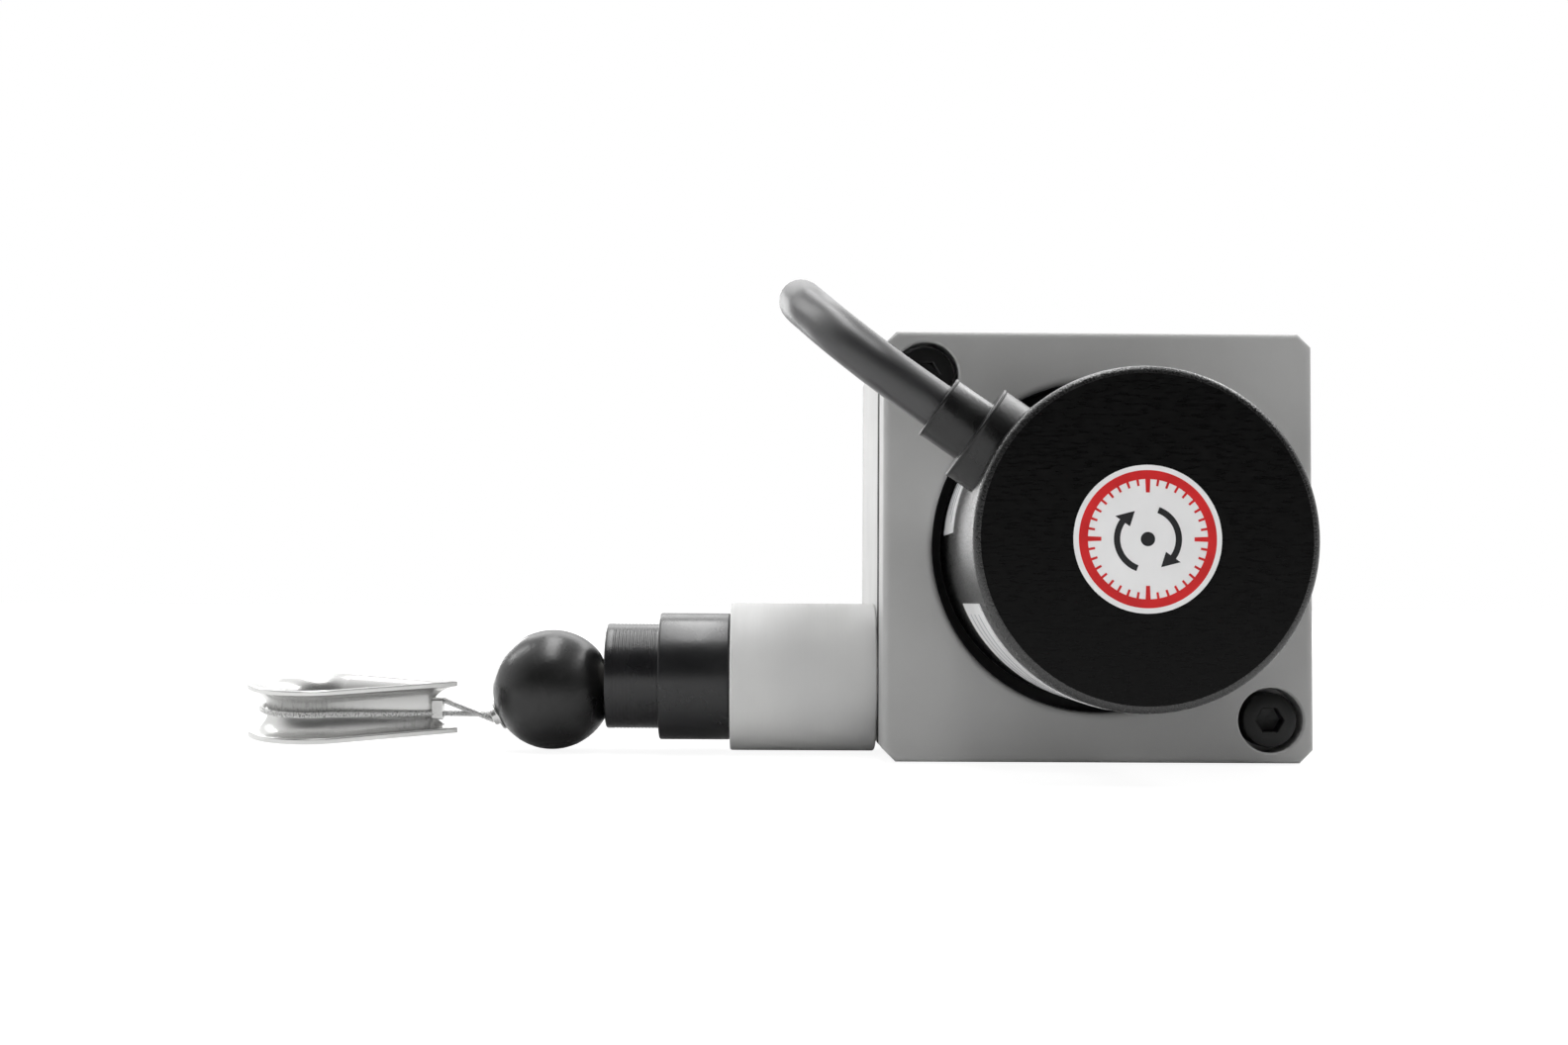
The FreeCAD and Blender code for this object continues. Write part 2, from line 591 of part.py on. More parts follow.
def spiral_arcs(first_radius):
    """Half circles about two centres, each half a pitch larger than the last."""
    arcs = []
    for half in range(2 * SPRING_TURNS):
        radius = first_radius + half * SPRING_PITCH / 2
        centre_x = half % 2 * SPRING_PITCH / 2
        side = 1 - half % 2 * 2
        start = Vector(centre_x + side * radius, SPRING_Y, AXIS_Z)
        middle = Vector(centre_x, SPRING_Y, AXIS_Z + side * radius)
        end = Vector(centre_x - side * radius, SPRING_Y, AXIS_Z)
        arcs.append(Part.Arc(start, middle, end).toShape())
    return arcs


def power_spring():
    inner = spiral_arcs(SPRING_INNER_RADIUS)
    outer = spiral_arcs(SPRING_INNER_RADIUS + SPRING_STRIP)
    ends = []
    for radius in (SPRING_INNER_RADIUS, SPRING_OUTER_RADIUS):
        low = Vector(radius, SPRING_Y, AXIS_Z)
        ends.append(Part.LineSegment(low, low + ALONG_X * SPRING_STRIP).toShape())
    wire = Part.Wire(Part.__sortEdges__(inner + outer + ends))
    return Part.Face(wire).extrude(ALONG_Y * SPRING_WIDTH)


def anchor_rod(radius, end):
    return rod(radius, SPRING_CHAMBER_Y - ANCHOR_PIN_SEAT, end, Vector(ANCHOR_PIN_X, 0, AXIS_Z))


def spring_anchor_pin():
    return anchor_rod(ANCHOR_PIN_RADIUS, SPRING_Y + SPRING_WIDTH)


# Encoder

def encoder_base():
    bore = BEARING_OUTER + SEAT_GAP
    edge = CAN_INNER - SEAT_GAP
    second = ENCODER_BEARING_YS[1]
    rib_start = second - BEARING_RIB
    profile = [
        (bore, BOSS_Y), (ENCODER_BOSS_RADIUS, BOSS_Y), (ENCODER_BOSS_RADIUS, ENCODER_FLOOR_Y),
        (edge, ENCODER_FLOOR_Y), (edge, POCKET_Y), (bore, POCKET_Y), (bore, second),
        (BEARING_LIP_RADIUS, second), (BEARING_LIP_RADIUS, rib_start), (bore, rib_start),
    ]
    base = turned(profile, AXIS, ALONG_Y)
    screw_end = PLATE_REAR_Y - ENCODER_SCREW_LENGTH
    for place in encoder_screw_places():
        base = base.cut(rod(SMALL_SCREW_RADIUS + SEAT_GAP, screw_end, POCKET_Y, place))
    return base


def encoder_can():
    profile = [
        (CAN_RADIUS, CAN_REAR_Y), (CAN_RADIUS, CAN_FRONT_Y), (0, CAN_FRONT_Y),
        (0, CAN_FRONT_Y + CAN_END_WALL), (CAN_INNER, CAN_FRONT_Y + CAN_END_WALL), (CAN_INNER, CAN_REAR_Y),
    ]
    can = turned(profile, AXIS, ALONG_Y)
    front_edges = []
    for edge in can.Edges:
        if isinstance(edge.Curve, Part.Circle) and abs(edge.Curve.Center.y - CAN_FRONT_Y) < TOLERANCE:
            front_edges.append(edge)
    can = can.makeFillet(CAN_FILLET, front_edges)
    return can.cut(rod(GROMMET_NECK_RADIUS + SEAT_GAP, 0, COLLAR_TOP, GROMMET_CENTRE, GROMMET_AXIS))


def hub_screw_rod(radius, start, end):
    return rod(radius, start, end, Vector(0, HUB_Y + HUB_WIDTH / 2, AXIS_Z), ALONG_Z)


def encoder_shaft():
    front = HOLLOW_SHAFT_Y - HOLLOW_SHAFT_LENGTH
    sleeve = ring(SHAFT_RADIUS, SHAFT_NOSE_RADIUS + SEAT_GAP, front, HOLLOW_SHAFT_Y)
    return sleeve.cut(hub_screw_rod(HUB_SCREW_RADIUS + SEAT_GAP, 0, HUB_RADIUS))


def disc_hub():
    hub = ring(HUB_RADIUS, BEARING_BORE + SEAT_GAP, HUB_Y, HUB_Y + HUB_WIDTH)
    return hub.cut(hub_screw_rod(HUB_SCREW_RADIUS + SEAT_GAP, 0, 2 * HUB_RADIUS))


def hub_screw():
    return hub_screw_rod(HUB_SCREW_RADIUS, SHAFT_NOSE_RADIUS + SEAT_GAP, HUB_RADIUS)


def code_disc():
    return ring(DISC_RADIUS, BEARING_BORE + SEAT_GAP, DISC_Y, HUB_Y)


def sensor_block(start, end):
    low = (SENSOR_INNER, start, AXIS_Z - SENSOR_SPAN / 2)
    return box(low, (SENSOR_INNER + SENSOR_WIDTH, end, AXIS_Z + SENSOR_SPAN / 2))


def light_source():
    return sensor_block(HUB_Y + DISC_GAP, ENCODER_FLOOR_Y)


def reticle():
    return sensor_block(RETICLE_Y, RETICLE_Y + RETICLE_THICKNESS)


def light_detector():
    return sensor_block(BOARD_REAR_Y, RETICLE_Y)


def circuit_board():
    return rod(BOARD_RADIUS, BOARD_Y, BOARD_REAR_Y)


def board_standoffs():
    posts = []
    for angle in spaced_angles(STANDOFF_COUNT, STANDOFF_ANGLE):
        posts.append(rod(STANDOFF_RADIUS, BOARD_REAR_Y, ENCODER_FLOOR_Y, polar(STANDOFF_CIRCLE, angle, 0)))
    return Part.makeCompound(posts)


def board_connector():
    low = (-CONNECTOR_WIDTH / 2, BOARD_Y - CONNECTOR_DEPTH, AXIS_Z)
    return box(low, (CONNECTOR_WIDTH / 2, BOARD_Y, AXIS_Z + CONNECTOR_HEIGHT))


def face_sticker():
    return rod(STICKER_RADIUS, CAN_FRONT_Y - STICKER_THICKNESS, CAN_FRONT_Y)


def can_label(angles, depths):
    start = FRONT_Y + depths[0]
    end = FRONT_Y + depths[1]
    outer = CAN_RADIUS + LABEL_THICKNESS
    corners = [(CAN_RADIUS, start), (outer, start), (outer, end), (CAN_RADIUS, end)]
    points = [Vector(radius, y, AXIS_Z) for radius, y in corners]
    face = Part.Face(Part.makePolygon(points + points[:1]))
    face.rotate(AXIS, ALONG_Y, -angles[0])
    return face.revolve(AXIS, ALONG_Y, angles[0] - angles[1])


def grommet_rod(radius, start, end):
    return rod(radius, start, end, GROMMET_CENTRE, GROMMET_AXIS)


def cable_grommet():
    inside = CAN_INNER - SEAT_GAP
    flange_floor = math.sqrt(inside ** 2 - GROMMET_FLANGE_RADIUS ** 2) - GROMMET_FLANGE
    flange = grommet_rod(GROMMET_FLANGE_RADIUS, flange_floor, CAN_INNER)
    flange = flange.common(rod(inside, CAN_FRONT_Y, FRONT_Y))
    neck = grommet_rod(GROMMET_NECK_RADIUS, flange_floor, COLLAR_TOP)
    collar = grommet_rod(COLLAR_RADIUS, CAN_INNER, COLLAR_TOP)
    collar = collar.cut(rod(CAN_RADIUS + SEAT_GAP, CAN_FRONT_Y, FRONT_Y))
    sleeve = grommet_rod(SLEEVE_RADIUS, COLLAR_TOP, SLEEVE_TOP)
    grommet = flange.fuse([neck, collar, sleeve]).removeSplitter()
    return grommet.cut(grommet_rod(CABLE_RADIUS + SEAT_GAP, 0, SLEEVE_TOP))


def cable_inlet():
    return grommet_rod(CABLE_RADIUS, CABLE_INLET_RADIUS, SLEEVE_TOP)


def inner_leads():
    start = GROMMET_CENTRE + GROMMET_AXIS * CABLE_INLET_RADIUS
    across = GROMMET_AXIS.cross(ALONG_Y)
    leads = []
    for index, degrees in enumerate(spaced_angles(LEAD_COUNT, LEAD_ANGLE)):
        angle = math.radians(degrees)
        offset = ALONG_Y * math.sin(angle) + across * math.cos(angle)
        pin_y = BOARD_Y - CONNECTOR_DEPTH * (index + 1) / (LEAD_COUNT + 1)
        pin = Vector(-CONNECTOR_WIDTH / 2, pin_y, AXIS_Z + CONNECTOR_HEIGHT / 2)
        leads.append(bar(INNER_LEAD_RADIUS, start + offset * LEAD_PITCH_RADIUS, pin))
    return Part.makeCompound(leads)


# Wire outlet, turned about the wire's axis

def outlet_turned(points):
    return turned(points, OUTLET_AXIS, ALONG_X)


def outlet_cylinder():
    return outlet_turned([
        (OUTLET_SOCKET_RADIUS, OUTLET_END_X), (OUTLET_RADIUS - EDGE_BREAK, OUTLET_END_X),
        (OUTLET_RADIUS, OUTLET_END_X + EDGE_BREAK), (OUTLET_RADIUS, -HALF_WIDTH),
        (OUTLET_SPIGOT_RADIUS, -HALF_WIDTH), (OUTLET_SPIGOT_RADIUS, OUTLET_SPIGOT_X),
        (WIRE_WAY_RADIUS, OUTLET_SPIGOT_X), (WIRE_WAY_RADIUS, SOCKET_FLOOR_X),
        (OUTLET_SOCKET_RADIUS, SOCKET_FLOOR_X),
    ])


def felt_wiper():
    outer = OUTLET_SOCKET_RADIUS - SEAT_GAP
    return ring(outer, WIRE_RADIUS + SLIP_GAP, BUSH_SPIGOT_X, SOCKET_FLOOR_X, OUTLET_AXIS, ALONG_X)


def outlet_bush():
    spigot = OUTLET_SOCKET_RADIUS - SEAT_GAP
    socket = NOZZLE_SPIGOT_RADIUS + SEAT_GAP
    return outlet_turned([
        (socket, BUSH_END_X), (BUSH_RADIUS - EDGE_BREAK, BUSH_END_X), (BUSH_RADIUS, BUSH_END_X + EDGE_BREAK),
        (BUSH_RADIUS, OUTLET_END_X), (spigot, OUTLET_END_X), (spigot, BUSH_SPIGOT_X),
        (WIRE_WAY_RADIUS, BUSH_SPIGOT_X), (WIRE_WAY_RADIUS, NOZZLE_SPIGOT_X), (socket, NOZZLE_SPIGOT_X),
    ])


def outlet_nozzle():
    seat = EYELET_RADIUS + SEAT_GAP
    seat_end = EYELET_X + EYELET_LENGTH
    return outlet_turned([
        (MOUTH_RADIUS, NOZZLE_END_X), (NOZZLE_RADIUS - EDGE_BREAK, NOZZLE_END_X),
        (NOZZLE_RADIUS, NOZZLE_END_X + EDGE_BREAK), (NOZZLE_RADIUS, BUSH_END_X),
        (NOZZLE_SPIGOT_RADIUS, BUSH_END_X), (NOZZLE_SPIGOT_RADIUS, NOZZLE_SPIGOT_X),
        (WIRE_WAY_RADIUS, NOZZLE_SPIGOT_X), (WIRE_WAY_RADIUS, seat_end), (seat, seat_end), (seat, EYELET_X),
        (MOUTH_RADIUS - MOUTH_DEPTH, EYELET_X),
    ])


def wire_eyelet():
    end = EYELET_X + EYELET_LENGTH
    flare = EYELET_BORE + EDGE_BREAK
    return outlet_turned([
        (flare, EYELET_X), (EYELET_RADIUS, EYELET_X), (EYELET_RADIUS, end), (flare, end),
        (EYELET_BORE, end - EDGE_BREAK), (EYELET_BORE, EYELET_X + EDGE_BREAK),
    ])


# Wire end

def ball_pole(side, beyond=0.0):
    return BALL_CENTRE + BALL_AXIS * side * (BALL_HALF_LENGTH + beyond)


def wire_run():
    wound = DRUM_PITCH_RADIUS + WIRE_RADIUS + SLIP_GAP
    start_x = -math.sqrt(wound ** 2 - (DRUM_PITCH_RADIUS - WIRE_RADIUS) ** 2)
    return rod(WIRE_RADIUS, WIRE_END.x, start_x, OUTLET_AXIS, ALONG_X)


def wire_knuckle(place):
    """Ball that joins two straight stretches of wire, a hair larger so that it meets both."""
    return Part.makeSphere(WIRE_RADIUS + SEAT_GAP, place)


def wire_stem():
    bend = ball_pole(1, -BALL_SINK_DEPTH)
    through = bar(WIRE_RADIUS, ball_pole(-1, FERRULE_LENGTH), bend)
    to_eyelet = bar(WIRE_RADIUS, bend, WIRE_END - ALONG_X * WIRE_RADIUS)
    return through.fuse([wire_knuckle(bend), to_eyelet])


def ball_stop():
    ball = Part.makeSphere(BALL_STOP_RADIUS, BALL_CENTRE)
    ball = ball.common(bar(2 * BALL_STOP_RADIUS, ball_pole(-1), ball_pole(1)))
    ball = ball.cut(bar(BALL_HOLE_RADIUS, ball_pole(-1), ball_pole(1)))
    sink = [(0, 0), (BALL_SINK_RADIUS, 0), (BALL_HOLE_RADIUS, BALL_SINK_DEPTH), (0, BALL_SINK_DEPTH)]
    return ball.cut(turned(sink, ball_pole(1), -BALL_AXIS))


def end_ferrule():
    flange = bar(FERRULE_FLANGE_RADIUS, ball_pole(-1, FERRULE_FLANGE), ball_pole(-1))
    barrel = bar(FERRULE_RADIUS, ball_pole(-1, FERRULE_LENGTH), ball_pole(-1))
    stem_hole = bar(WIRE_RADIUS + SLIP_GAP, ball_pole(-1, FERRULE_LENGTH), ball_pole(-1))
    return flange.fuse(barrel).cut(stem_hole).removeSplitter()


def set_in_thimble(shape):
    """Moves a shape from the eye's own frame, tip along +X, to its place on the wire."""
    placed = shape.copy()
    placed.rotate(ORIGIN, ALONG_X, THIMBLE_TILT)
    placed.translate(THIMBLE_CENTRE)
    return placed


def thimble_section():
    rim = Vector(THIMBLE_RIM_RADIUS, 0, THIMBLE_HALF_WIDTH)
    lip = Vector(THIMBLE_RIM_RADIUS, 0, THIMBLE_HALF_WIDTH - THIMBLE_RIM)
    low_rim = Vector(rim.x, 0, -rim.z)
    low_lip = Vector(lip.x, 0, -lip.z)
    edges = [
        Part.Arc(rim, Vector(THIMBLE_EYE_RADIUS, 0, 0), low_rim).toShape(),
        Part.LineSegment(low_rim, low_lip).toShape(),
        Part.Arc(low_lip, Vector(THIMBLE_GROOVE_RADIUS, 0, 0), lip).toShape(),
        Part.LineSegment(lip, rim).toShape(),
    ]
    return Part.Face(Part.Wire(edges))


def thimble():
    section = thimble_section()
    section.rotate(ORIGIN, ALONG_Z, THIMBLE_TURN)
    round_end = section.revolve(ORIGIN, ALONG_Z, 360 - 2 * THIMBLE_TURN)
    along = Vector(math.cos(TIP_HALF_ANGLE), -math.sin(TIP_HALF_ANGLE), 0)
    far_half = box((-THIMBLE_TIP, 0, -THIMBLE_TIP), (2 * THIMBLE_TIP, 2 * THIMBLE_TIP, THIMBLE_TIP))
    leg = section.extrude(along * (THIMBLE_TIP + THIMBLE_RIM_RADIUS)).common(far_half)
    other_leg = leg.mirror(ORIGIN, ALONG_Y)
    return set_in_thimble(round_end.fuse([leg, other_leg]).removeSplitter())


def placed_point(point):
    return set_in_thimble(Part.Vertex(point)).Point


def strand_points(side):
    """Where one strand leaves the round of the eye, passes its tip and ends in the ferrule."""
    angle = math.radians(THIMBLE_TURN)
    tangent = Vector(LOOP_RADIUS * math.cos(angle), side * LOOP_RADIUS * math.sin(angle), 0)
    tip = Vector(LOOP_RADIUS / math.sin(TIP_HALF_ANGLE), 0, side * STRAND_SPREAD_TIP)
    end = ball_pole(-1, FERRULE_LENGTH) + BALL_UP * side * STRAND_SPREAD_FERRULE
    return placed_point(tangent), placed_point(tip), end


def wire_loop():
    section = Part.Face(Part.Wire(Part.makeCircle(WIRE_RADIUS, Vector(LOOP_RADIUS, 0, 0), ALONG_Y)))
    section.rotate(ORIGIN, ALONG_Z, THIMBLE_TURN)
    loop = set_in_thimble(section.revolve(ORIGIN, ALONG_Z, 360 - 2 * THIMBLE_TURN))
    for side in (1, -1):
        tangent, tip, end = strand_points(side)
        pieces = [
            wire_knuckle(tangent), bar(WIRE_RADIUS, tangent, tip),
            wire_knuckle(tip), bar(WIRE_RADIUS, tip, end),
        ]
        for piece in pieces:
            loop = loop.fuse(piece)
    return loop


def loop_crimp():
    middle_x = THIMBLE_CENTRE.x + THIMBLE_TIP - CRIMP_FROM_TIP
    strands = [strand_points(side) for side in (1, -1)]
    middle_z = 0
    for tangent, tip, end in strands:
        middle_z += (tip.z + (end.z - tip.z) * (middle_x - tip.x) / (end.x - tip.x)) / len(strands)
    centre = Vector(middle_x, OUTLET_Y, middle_z)
    half = Vector(CRIMP_LENGTH / 2, CRIMP_HALF_WIDTH, CRIMP_HALF_HEIGHT)
    crimp = box(centre - half, centre + half)
    long_edges = [edge for edge in crimp.Edges if abs(edge.Vertexes[0].X - edge.Vertexes[1].X) > TOLERANCE]
    crimp = crimp.makeFillet(CRIMP_HALF_WIDTH / 2, long_edges)
    for tangent, tip, end in strands:
        crimp = crimp.cut(bar(WIRE_RADIUS + SEAT_GAP, tip, end))
    return crimp


# Signal cable: a tube on straight runs and tangent arcs, then a tied coil

def cord_path(points):
    edges = []
    start = points[0]
    for index in range(1, len(points) - 1):
        corner = points[index]
        back = points[index - 1] - corner
        ahead = points[index + 1] - corner
        turn = math.pi - back.getAngle(ahead)
        cut = CORD_BEND_SHARE * min(back.Length, ahead.Length)
        radius = cut / math.tan(turn / 2)
        print("cable bend %d: turn %.0f degrees, radius %.1f mm" % (index, math.degrees(turn), radius))
        back.normalize()
        ahead.normalize()
        inward = (back + ahead).normalize()
        middle = corner + inward * (radius / math.cos(turn / 2) - radius)
        arc_end = corner + ahead * cut
        edges.append(Part.LineSegment(start, corner + back * cut).toShape())
        edges.append(Part.Arc(corner + back * cut, middle, arc_end).toShape())
        start = arc_end
    edges.append(Part.LineSegment(start, points[-1]).toShape())
    return Part.Wire(edges)


def signal_cable():
    points = [CABLE_START, CABLE_START + GROMMET_AXIS * CABLE_FIRST_RUN]
    points += [Vector(*point) for point in CABLE_POINTS]
    path = cord_path(points)
    section = Part.Wire(Part.makeCircle(CABLE_RADIUS, CABLE_START, GROMMET_AXIS))
    tube = path.makePipeShell([section], True, False)
    share = tube.Volume / (math.pi * CABLE_RADIUS ** 2 * path.Length)
    print("cable tube: length %.1f mm, volume over section times length %.4f" % (path.Length, share))
    return tube


def cable_coil():
    return ring(COIL_OUTER, COIL_INNER, 0, COIL_HEIGHT, COIL_BASE, ALONG_Z)


def cable_tie():
    low = Vector(COIL_INNER - SEAT_GAP - TIE_THICKNESS, -TIE_WIDTH / 2, -TIE_THICKNESS)
    high = Vector(COIL_OUTER + SEAT_GAP + TIE_THICKNESS, TIE_WIDTH / 2, COIL_HEIGHT + TIE_THICKNESS)
    band = box(low + COIL_BASE, high + COIL_BASE)
    band.rotate(COIL_BASE, ALONG_Z, TIE_ANGLE)
    return band.cut(ring(COIL_OUTER + SEAT_GAP, COIL_INNER - SEAT_GAP, 0, COIL_HEIGHT, COIL_BASE, ALONG_Z))


def tail_line():
    """Start of the cable's tail in the coil's outer turn, and the way it leaves."""
    angle = math.radians(TAIL_ANGLE)
    radius = COIL_OUTER - CABLE_RADIUS
    start = COIL_BASE + Vector(radius * math.cos(angle), radius * math.sin(angle), CABLE_RADIUS)
    return start, Vector(math.sin(angle), -math.cos(angle), 0)


def cable_tail():
    start, along = tail_line()
    return bar(CABLE_RADIUS, start, start + along * TAIL_LENGTH)


def cable_leads():
    start, along = tail_line()
    end = start + along * TAIL_LENGTH
    across = along.cross(ALONG_Z)
    leads = []
    for degrees in spaced_angles(LEAD_COUNT, LEAD_ANGLE):
        angle = math.radians(degrees)
        offset = (across * math.cos(angle) + ALONG_Z * math.sin(angle)) * LEAD_PITCH_RADIUS
        leads.append(bar(LEAD_RADIUS, end + offset, end + offset + along * LEAD_LENGTH))
    return Part.makeCompound(leads)


NODES = {
    "front_plate": front_plate(),
    "drum_housing": drum_housing(),
    "rear_cover": rear_cover(),
    "plate_screws": plate_screws(),
    "cover_screws": cover_screws(),
    "encoder_screws": encoder_screws(),
    "drum_bearing_outer_rings": outer_rings(DRUM_BEARING_YS),
    "drum_bearing_inner_rings": inner_rings(DRUM_BEARING_YS),
    "drum_bearing_balls": bearing_balls(DRUM_BEARING_YS),
    "encoder_bearing_outer_rings": outer_rings(ENCODER_BEARING_YS),
    "encoder_bearing_inner_rings": inner_rings(ENCODER_BEARING_YS),
    "encoder_bearing_balls": bearing_balls(ENCODER_BEARING_YS),
    "wire_drum": wire_drum(),
    "wire_winding": wire_winding(),
    "drum_shaft": drum_shaft(),
    "drum_key": key_box(0),
    "spring_arbor": spring_arbor(),
    "power_spring": power_spring(),
    "spring_anchor_pin": spring_anchor_pin(),
    "encoder_base": encoder_base(),
    "encoder_can": encoder_can(),
    "encoder_shaft": encoder_shaft(),
    "disc_hub": disc_hub(),
    "hub_screw": hub_screw(),
    "code_disc": code_disc(),
    "light_source": light_source(),
    "reticle": reticle(),
    "light_detector": light_detector(),
    "circuit_board": circuit_board(),
    "board_standoffs": board_standoffs(),
    "board_connector": board_connector(),
    "face_sticker": face_sticker(),
    "upper_can_label": can_label(UPPER_LABEL_ANGLES, UPPER_LABEL_DEPTHS),
    "lower_can_label": can_label(LOWER_LABEL_ANGLES, LOWER_LABEL_DEPTHS),
    "cable_grommet": cable_grommet(),
    "cable_inlet": cable_inlet(),
    "inner_leads": inner_leads(),
    "outlet_cylinder": outlet_cylinder(),
    "felt_wiper": felt_wiper(),
    "outlet_bush": outlet_bush(),
    "outlet_nozzle": outlet_nozzle(),
    "wire_eyelet": wire_eyelet(),
    "wire_run": wire_run(),
    "wire_stem": wire_stem(),
    "ball_stop": ball_stop(),
    "end_ferrule": end_ferrule(),
    "wire_loop": wire_loop(),
    "loop_crimp": loop_crimp(),
    "thimble": thimble(),
    "signal_cable": signal_cable(),
    "cable_coil": cable_coil(),
    "cable_tie": cable_tie(),
    "cable_tail": cable_tail(),
    "cable_leads": cable_leads(),
}

os.makedirs("parts", exist_ok=True)
for name, shape in NODES.items():
    if not shape.isValid():
        raise ValueError("invalid solid: " + name)
    shape.exportStep("parts/" + name + ".step")
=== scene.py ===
import json
import math

import bmesh
import bpy
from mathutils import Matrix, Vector
from mathutils.geometry import tessellate_polygon


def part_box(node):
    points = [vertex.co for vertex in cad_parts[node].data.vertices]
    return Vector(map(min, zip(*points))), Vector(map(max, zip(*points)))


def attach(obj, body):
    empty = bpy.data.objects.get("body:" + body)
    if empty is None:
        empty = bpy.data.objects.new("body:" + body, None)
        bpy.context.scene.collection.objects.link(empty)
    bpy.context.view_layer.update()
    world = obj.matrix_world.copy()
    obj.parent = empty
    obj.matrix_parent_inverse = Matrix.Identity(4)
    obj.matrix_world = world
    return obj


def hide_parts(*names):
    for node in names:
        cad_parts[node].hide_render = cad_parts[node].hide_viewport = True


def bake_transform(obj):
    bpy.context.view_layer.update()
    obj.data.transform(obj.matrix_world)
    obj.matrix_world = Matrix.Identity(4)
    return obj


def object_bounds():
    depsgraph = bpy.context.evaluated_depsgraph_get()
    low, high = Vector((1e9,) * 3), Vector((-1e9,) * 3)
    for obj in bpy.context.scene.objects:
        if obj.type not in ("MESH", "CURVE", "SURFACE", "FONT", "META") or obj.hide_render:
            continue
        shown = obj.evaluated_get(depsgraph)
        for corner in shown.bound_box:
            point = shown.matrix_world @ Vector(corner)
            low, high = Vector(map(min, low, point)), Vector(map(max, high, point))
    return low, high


# Looks of a draw-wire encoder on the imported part's own frame: metres, X right, Y away from the viewer, Z up

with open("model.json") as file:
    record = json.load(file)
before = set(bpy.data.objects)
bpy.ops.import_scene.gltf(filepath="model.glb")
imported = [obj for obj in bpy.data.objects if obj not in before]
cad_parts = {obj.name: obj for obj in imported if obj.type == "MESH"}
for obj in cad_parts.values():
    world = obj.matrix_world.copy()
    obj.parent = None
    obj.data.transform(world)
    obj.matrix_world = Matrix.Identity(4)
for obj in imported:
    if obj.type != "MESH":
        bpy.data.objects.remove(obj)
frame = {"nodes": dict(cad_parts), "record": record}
cad_low, cad_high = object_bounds()

ALONG_X = Vector((1, 0, 0))
ALONG_Y = Vector((0, 1, 0))
ALONG_Z = Vector((0, 0, 1))


def middle(node):
    low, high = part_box(node)
    return (low + high) / 2


def half_size(node):
    low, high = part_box(node)
    return (high - low) / 2


# Camera, fitted to the photograph's outlines
IMAGE_WIDTH = 1584
FOCAL_PIXELS = 1904.6
SENSOR = 36.0
CAMERA_PLACE = (-0.04303, -0.265, 0.02064)
CAMERA_PITCH = 2.316
CAMERA_ROLL = -0.325
CAMERA_YAW = -0.705

# Places read from the frame
plate_low, plate_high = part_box("front_plate")
body_low, body_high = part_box("drum_housing")
HALF_WIDTH = plate_high.x
AXIS = Vector((0, 0, HALF_WIDTH))
FRONT_Y = plate_low.y
BODY_FRONT_Y = body_low.y
BODY_REAR_Y = body_high.y
REAR_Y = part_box("rear_cover")[1].y
can_low, can_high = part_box("encoder_can")
CAN_RADIUS = can_high.x
CAN_FRONT_Y = can_low.y
CAN_REAR_Y = can_high.y
STICKER_RADIUS = half_size("face_sticker").x
STICKER_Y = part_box("face_sticker")[0].y
OUTLET = Vector((0, middle("outlet_cylinder").y, middle("outlet_cylinder").z))
BALL_CENTRE = middle("ball_stop")
BALL_RADIUS = half_size("ball_stop").y
COIL_CENTRE = middle("cable_coil")
COIL_BASE_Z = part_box("cable_coil")[0].z

# Sizes that the boxes don't give
CORNER_CHAMFER = 0.0017
FACE_ROUND = 0.0009
SEAM_CHAMFER = 0.0003
# Width of the dark band painted round the plate as the seam's shadow
SEAM_SHADOW_WIDTH = 0.0034
EDGE_LEAD = 2.2
EDGE_STRIP = 1.1
FILM = 0.00002
HOLE_CHAMFER = 0.00022
ROUND_STEPS = 128
COVER_HOLE_DEPTH = 0.004
POCKET_RADIUS = 0.0212
POCKET_ROUND = 0.0009
POCKET_DEPTH = 0.0079
# Where the pocket's painted shade starts below its rounded edge, and how thick its film is
POCKET_SHADE_START = 1.2 * POCKET_ROUND
POCKET_SHADE_FILM = 0.0001
SCREW_OFFSET = 0.022
COUNTERBORE_RADIUS = 0.00415
HEAD_RADIUS = 0.0035
HEAD_HEIGHT = 0.004
HEAD_SINK = 0.0004
HEAD_HEX = 0.003
HEAD_HEX_DEPTH = 0.002
HEAD_LIP = 0.0004
HEAD_ROUND = 0.00012
SOCKET_FLARE = 0.0003
SOCKET_LIP = 0.00015
SOCKET_POINT = 1.15
SMALL_HEAD_RADIUS = 0.00275
SMALL_HEAD_ROUND = 0.0001
SMALL_HEAD_EDGE = 0.00006
SMALL_SCREW_RADIUS = 0.0015
SMALL_SCREW_LENGTH = 0.012
SMALL_HEX = 0.002
SMALL_HEX_DEPTH = 0.0012
CAN_FILLET = 0.001
CAN_WALL = 0.001
CAN_STEPS = 192
CAN_FACE_INSET = 0.9 * CAN_FILLET
DIAL_INNER = 0.0067
DIAL_OUTER = 0.0077
DIAL_STEPS = 60
TICK_STEP = 10
LONG_TICK_EVERY = 9
LONG_TICK = (0.0052, 2.4)
SHORT_TICK = (0.006, 1.2)
ARROW_STARTS = (20, 200)
ARROW_SWEEP = 105
ARROW_HEAD_SWEEP = 30
ARROW_INNER = 0.0031
ARROW_OUTER = 0.0038
ARROW_HEAD_INNER = 0.00245
ARROW_HEAD_OUTER = 0.00445
ARROW_TIP = 0.00345
DOT_RADIUS = 0.0008
DOT_SWEEP = 359.9
DOT_STEPS = 32
LABEL_PLACES = {
    "upper_can_label": ((150.0, 176.0), (-0.034, -0.023)),
    "lower_can_label": ((202.0, 262.0), (-0.050, -0.033)),
}
LABEL_FILM = 0.00012
LABEL_COLUMNS = 24
RULES = 3
RULE_FIRST = 0.26
RULE_STEP = 0.24
RULE_MARGIN = 4
RULE_SHORTER = 3
RULE_WIDTH = 0.0005
RULE_FILM = 0.00001
GROMMET_ANGLE = 34.5
GROMMET_Y = -0.047
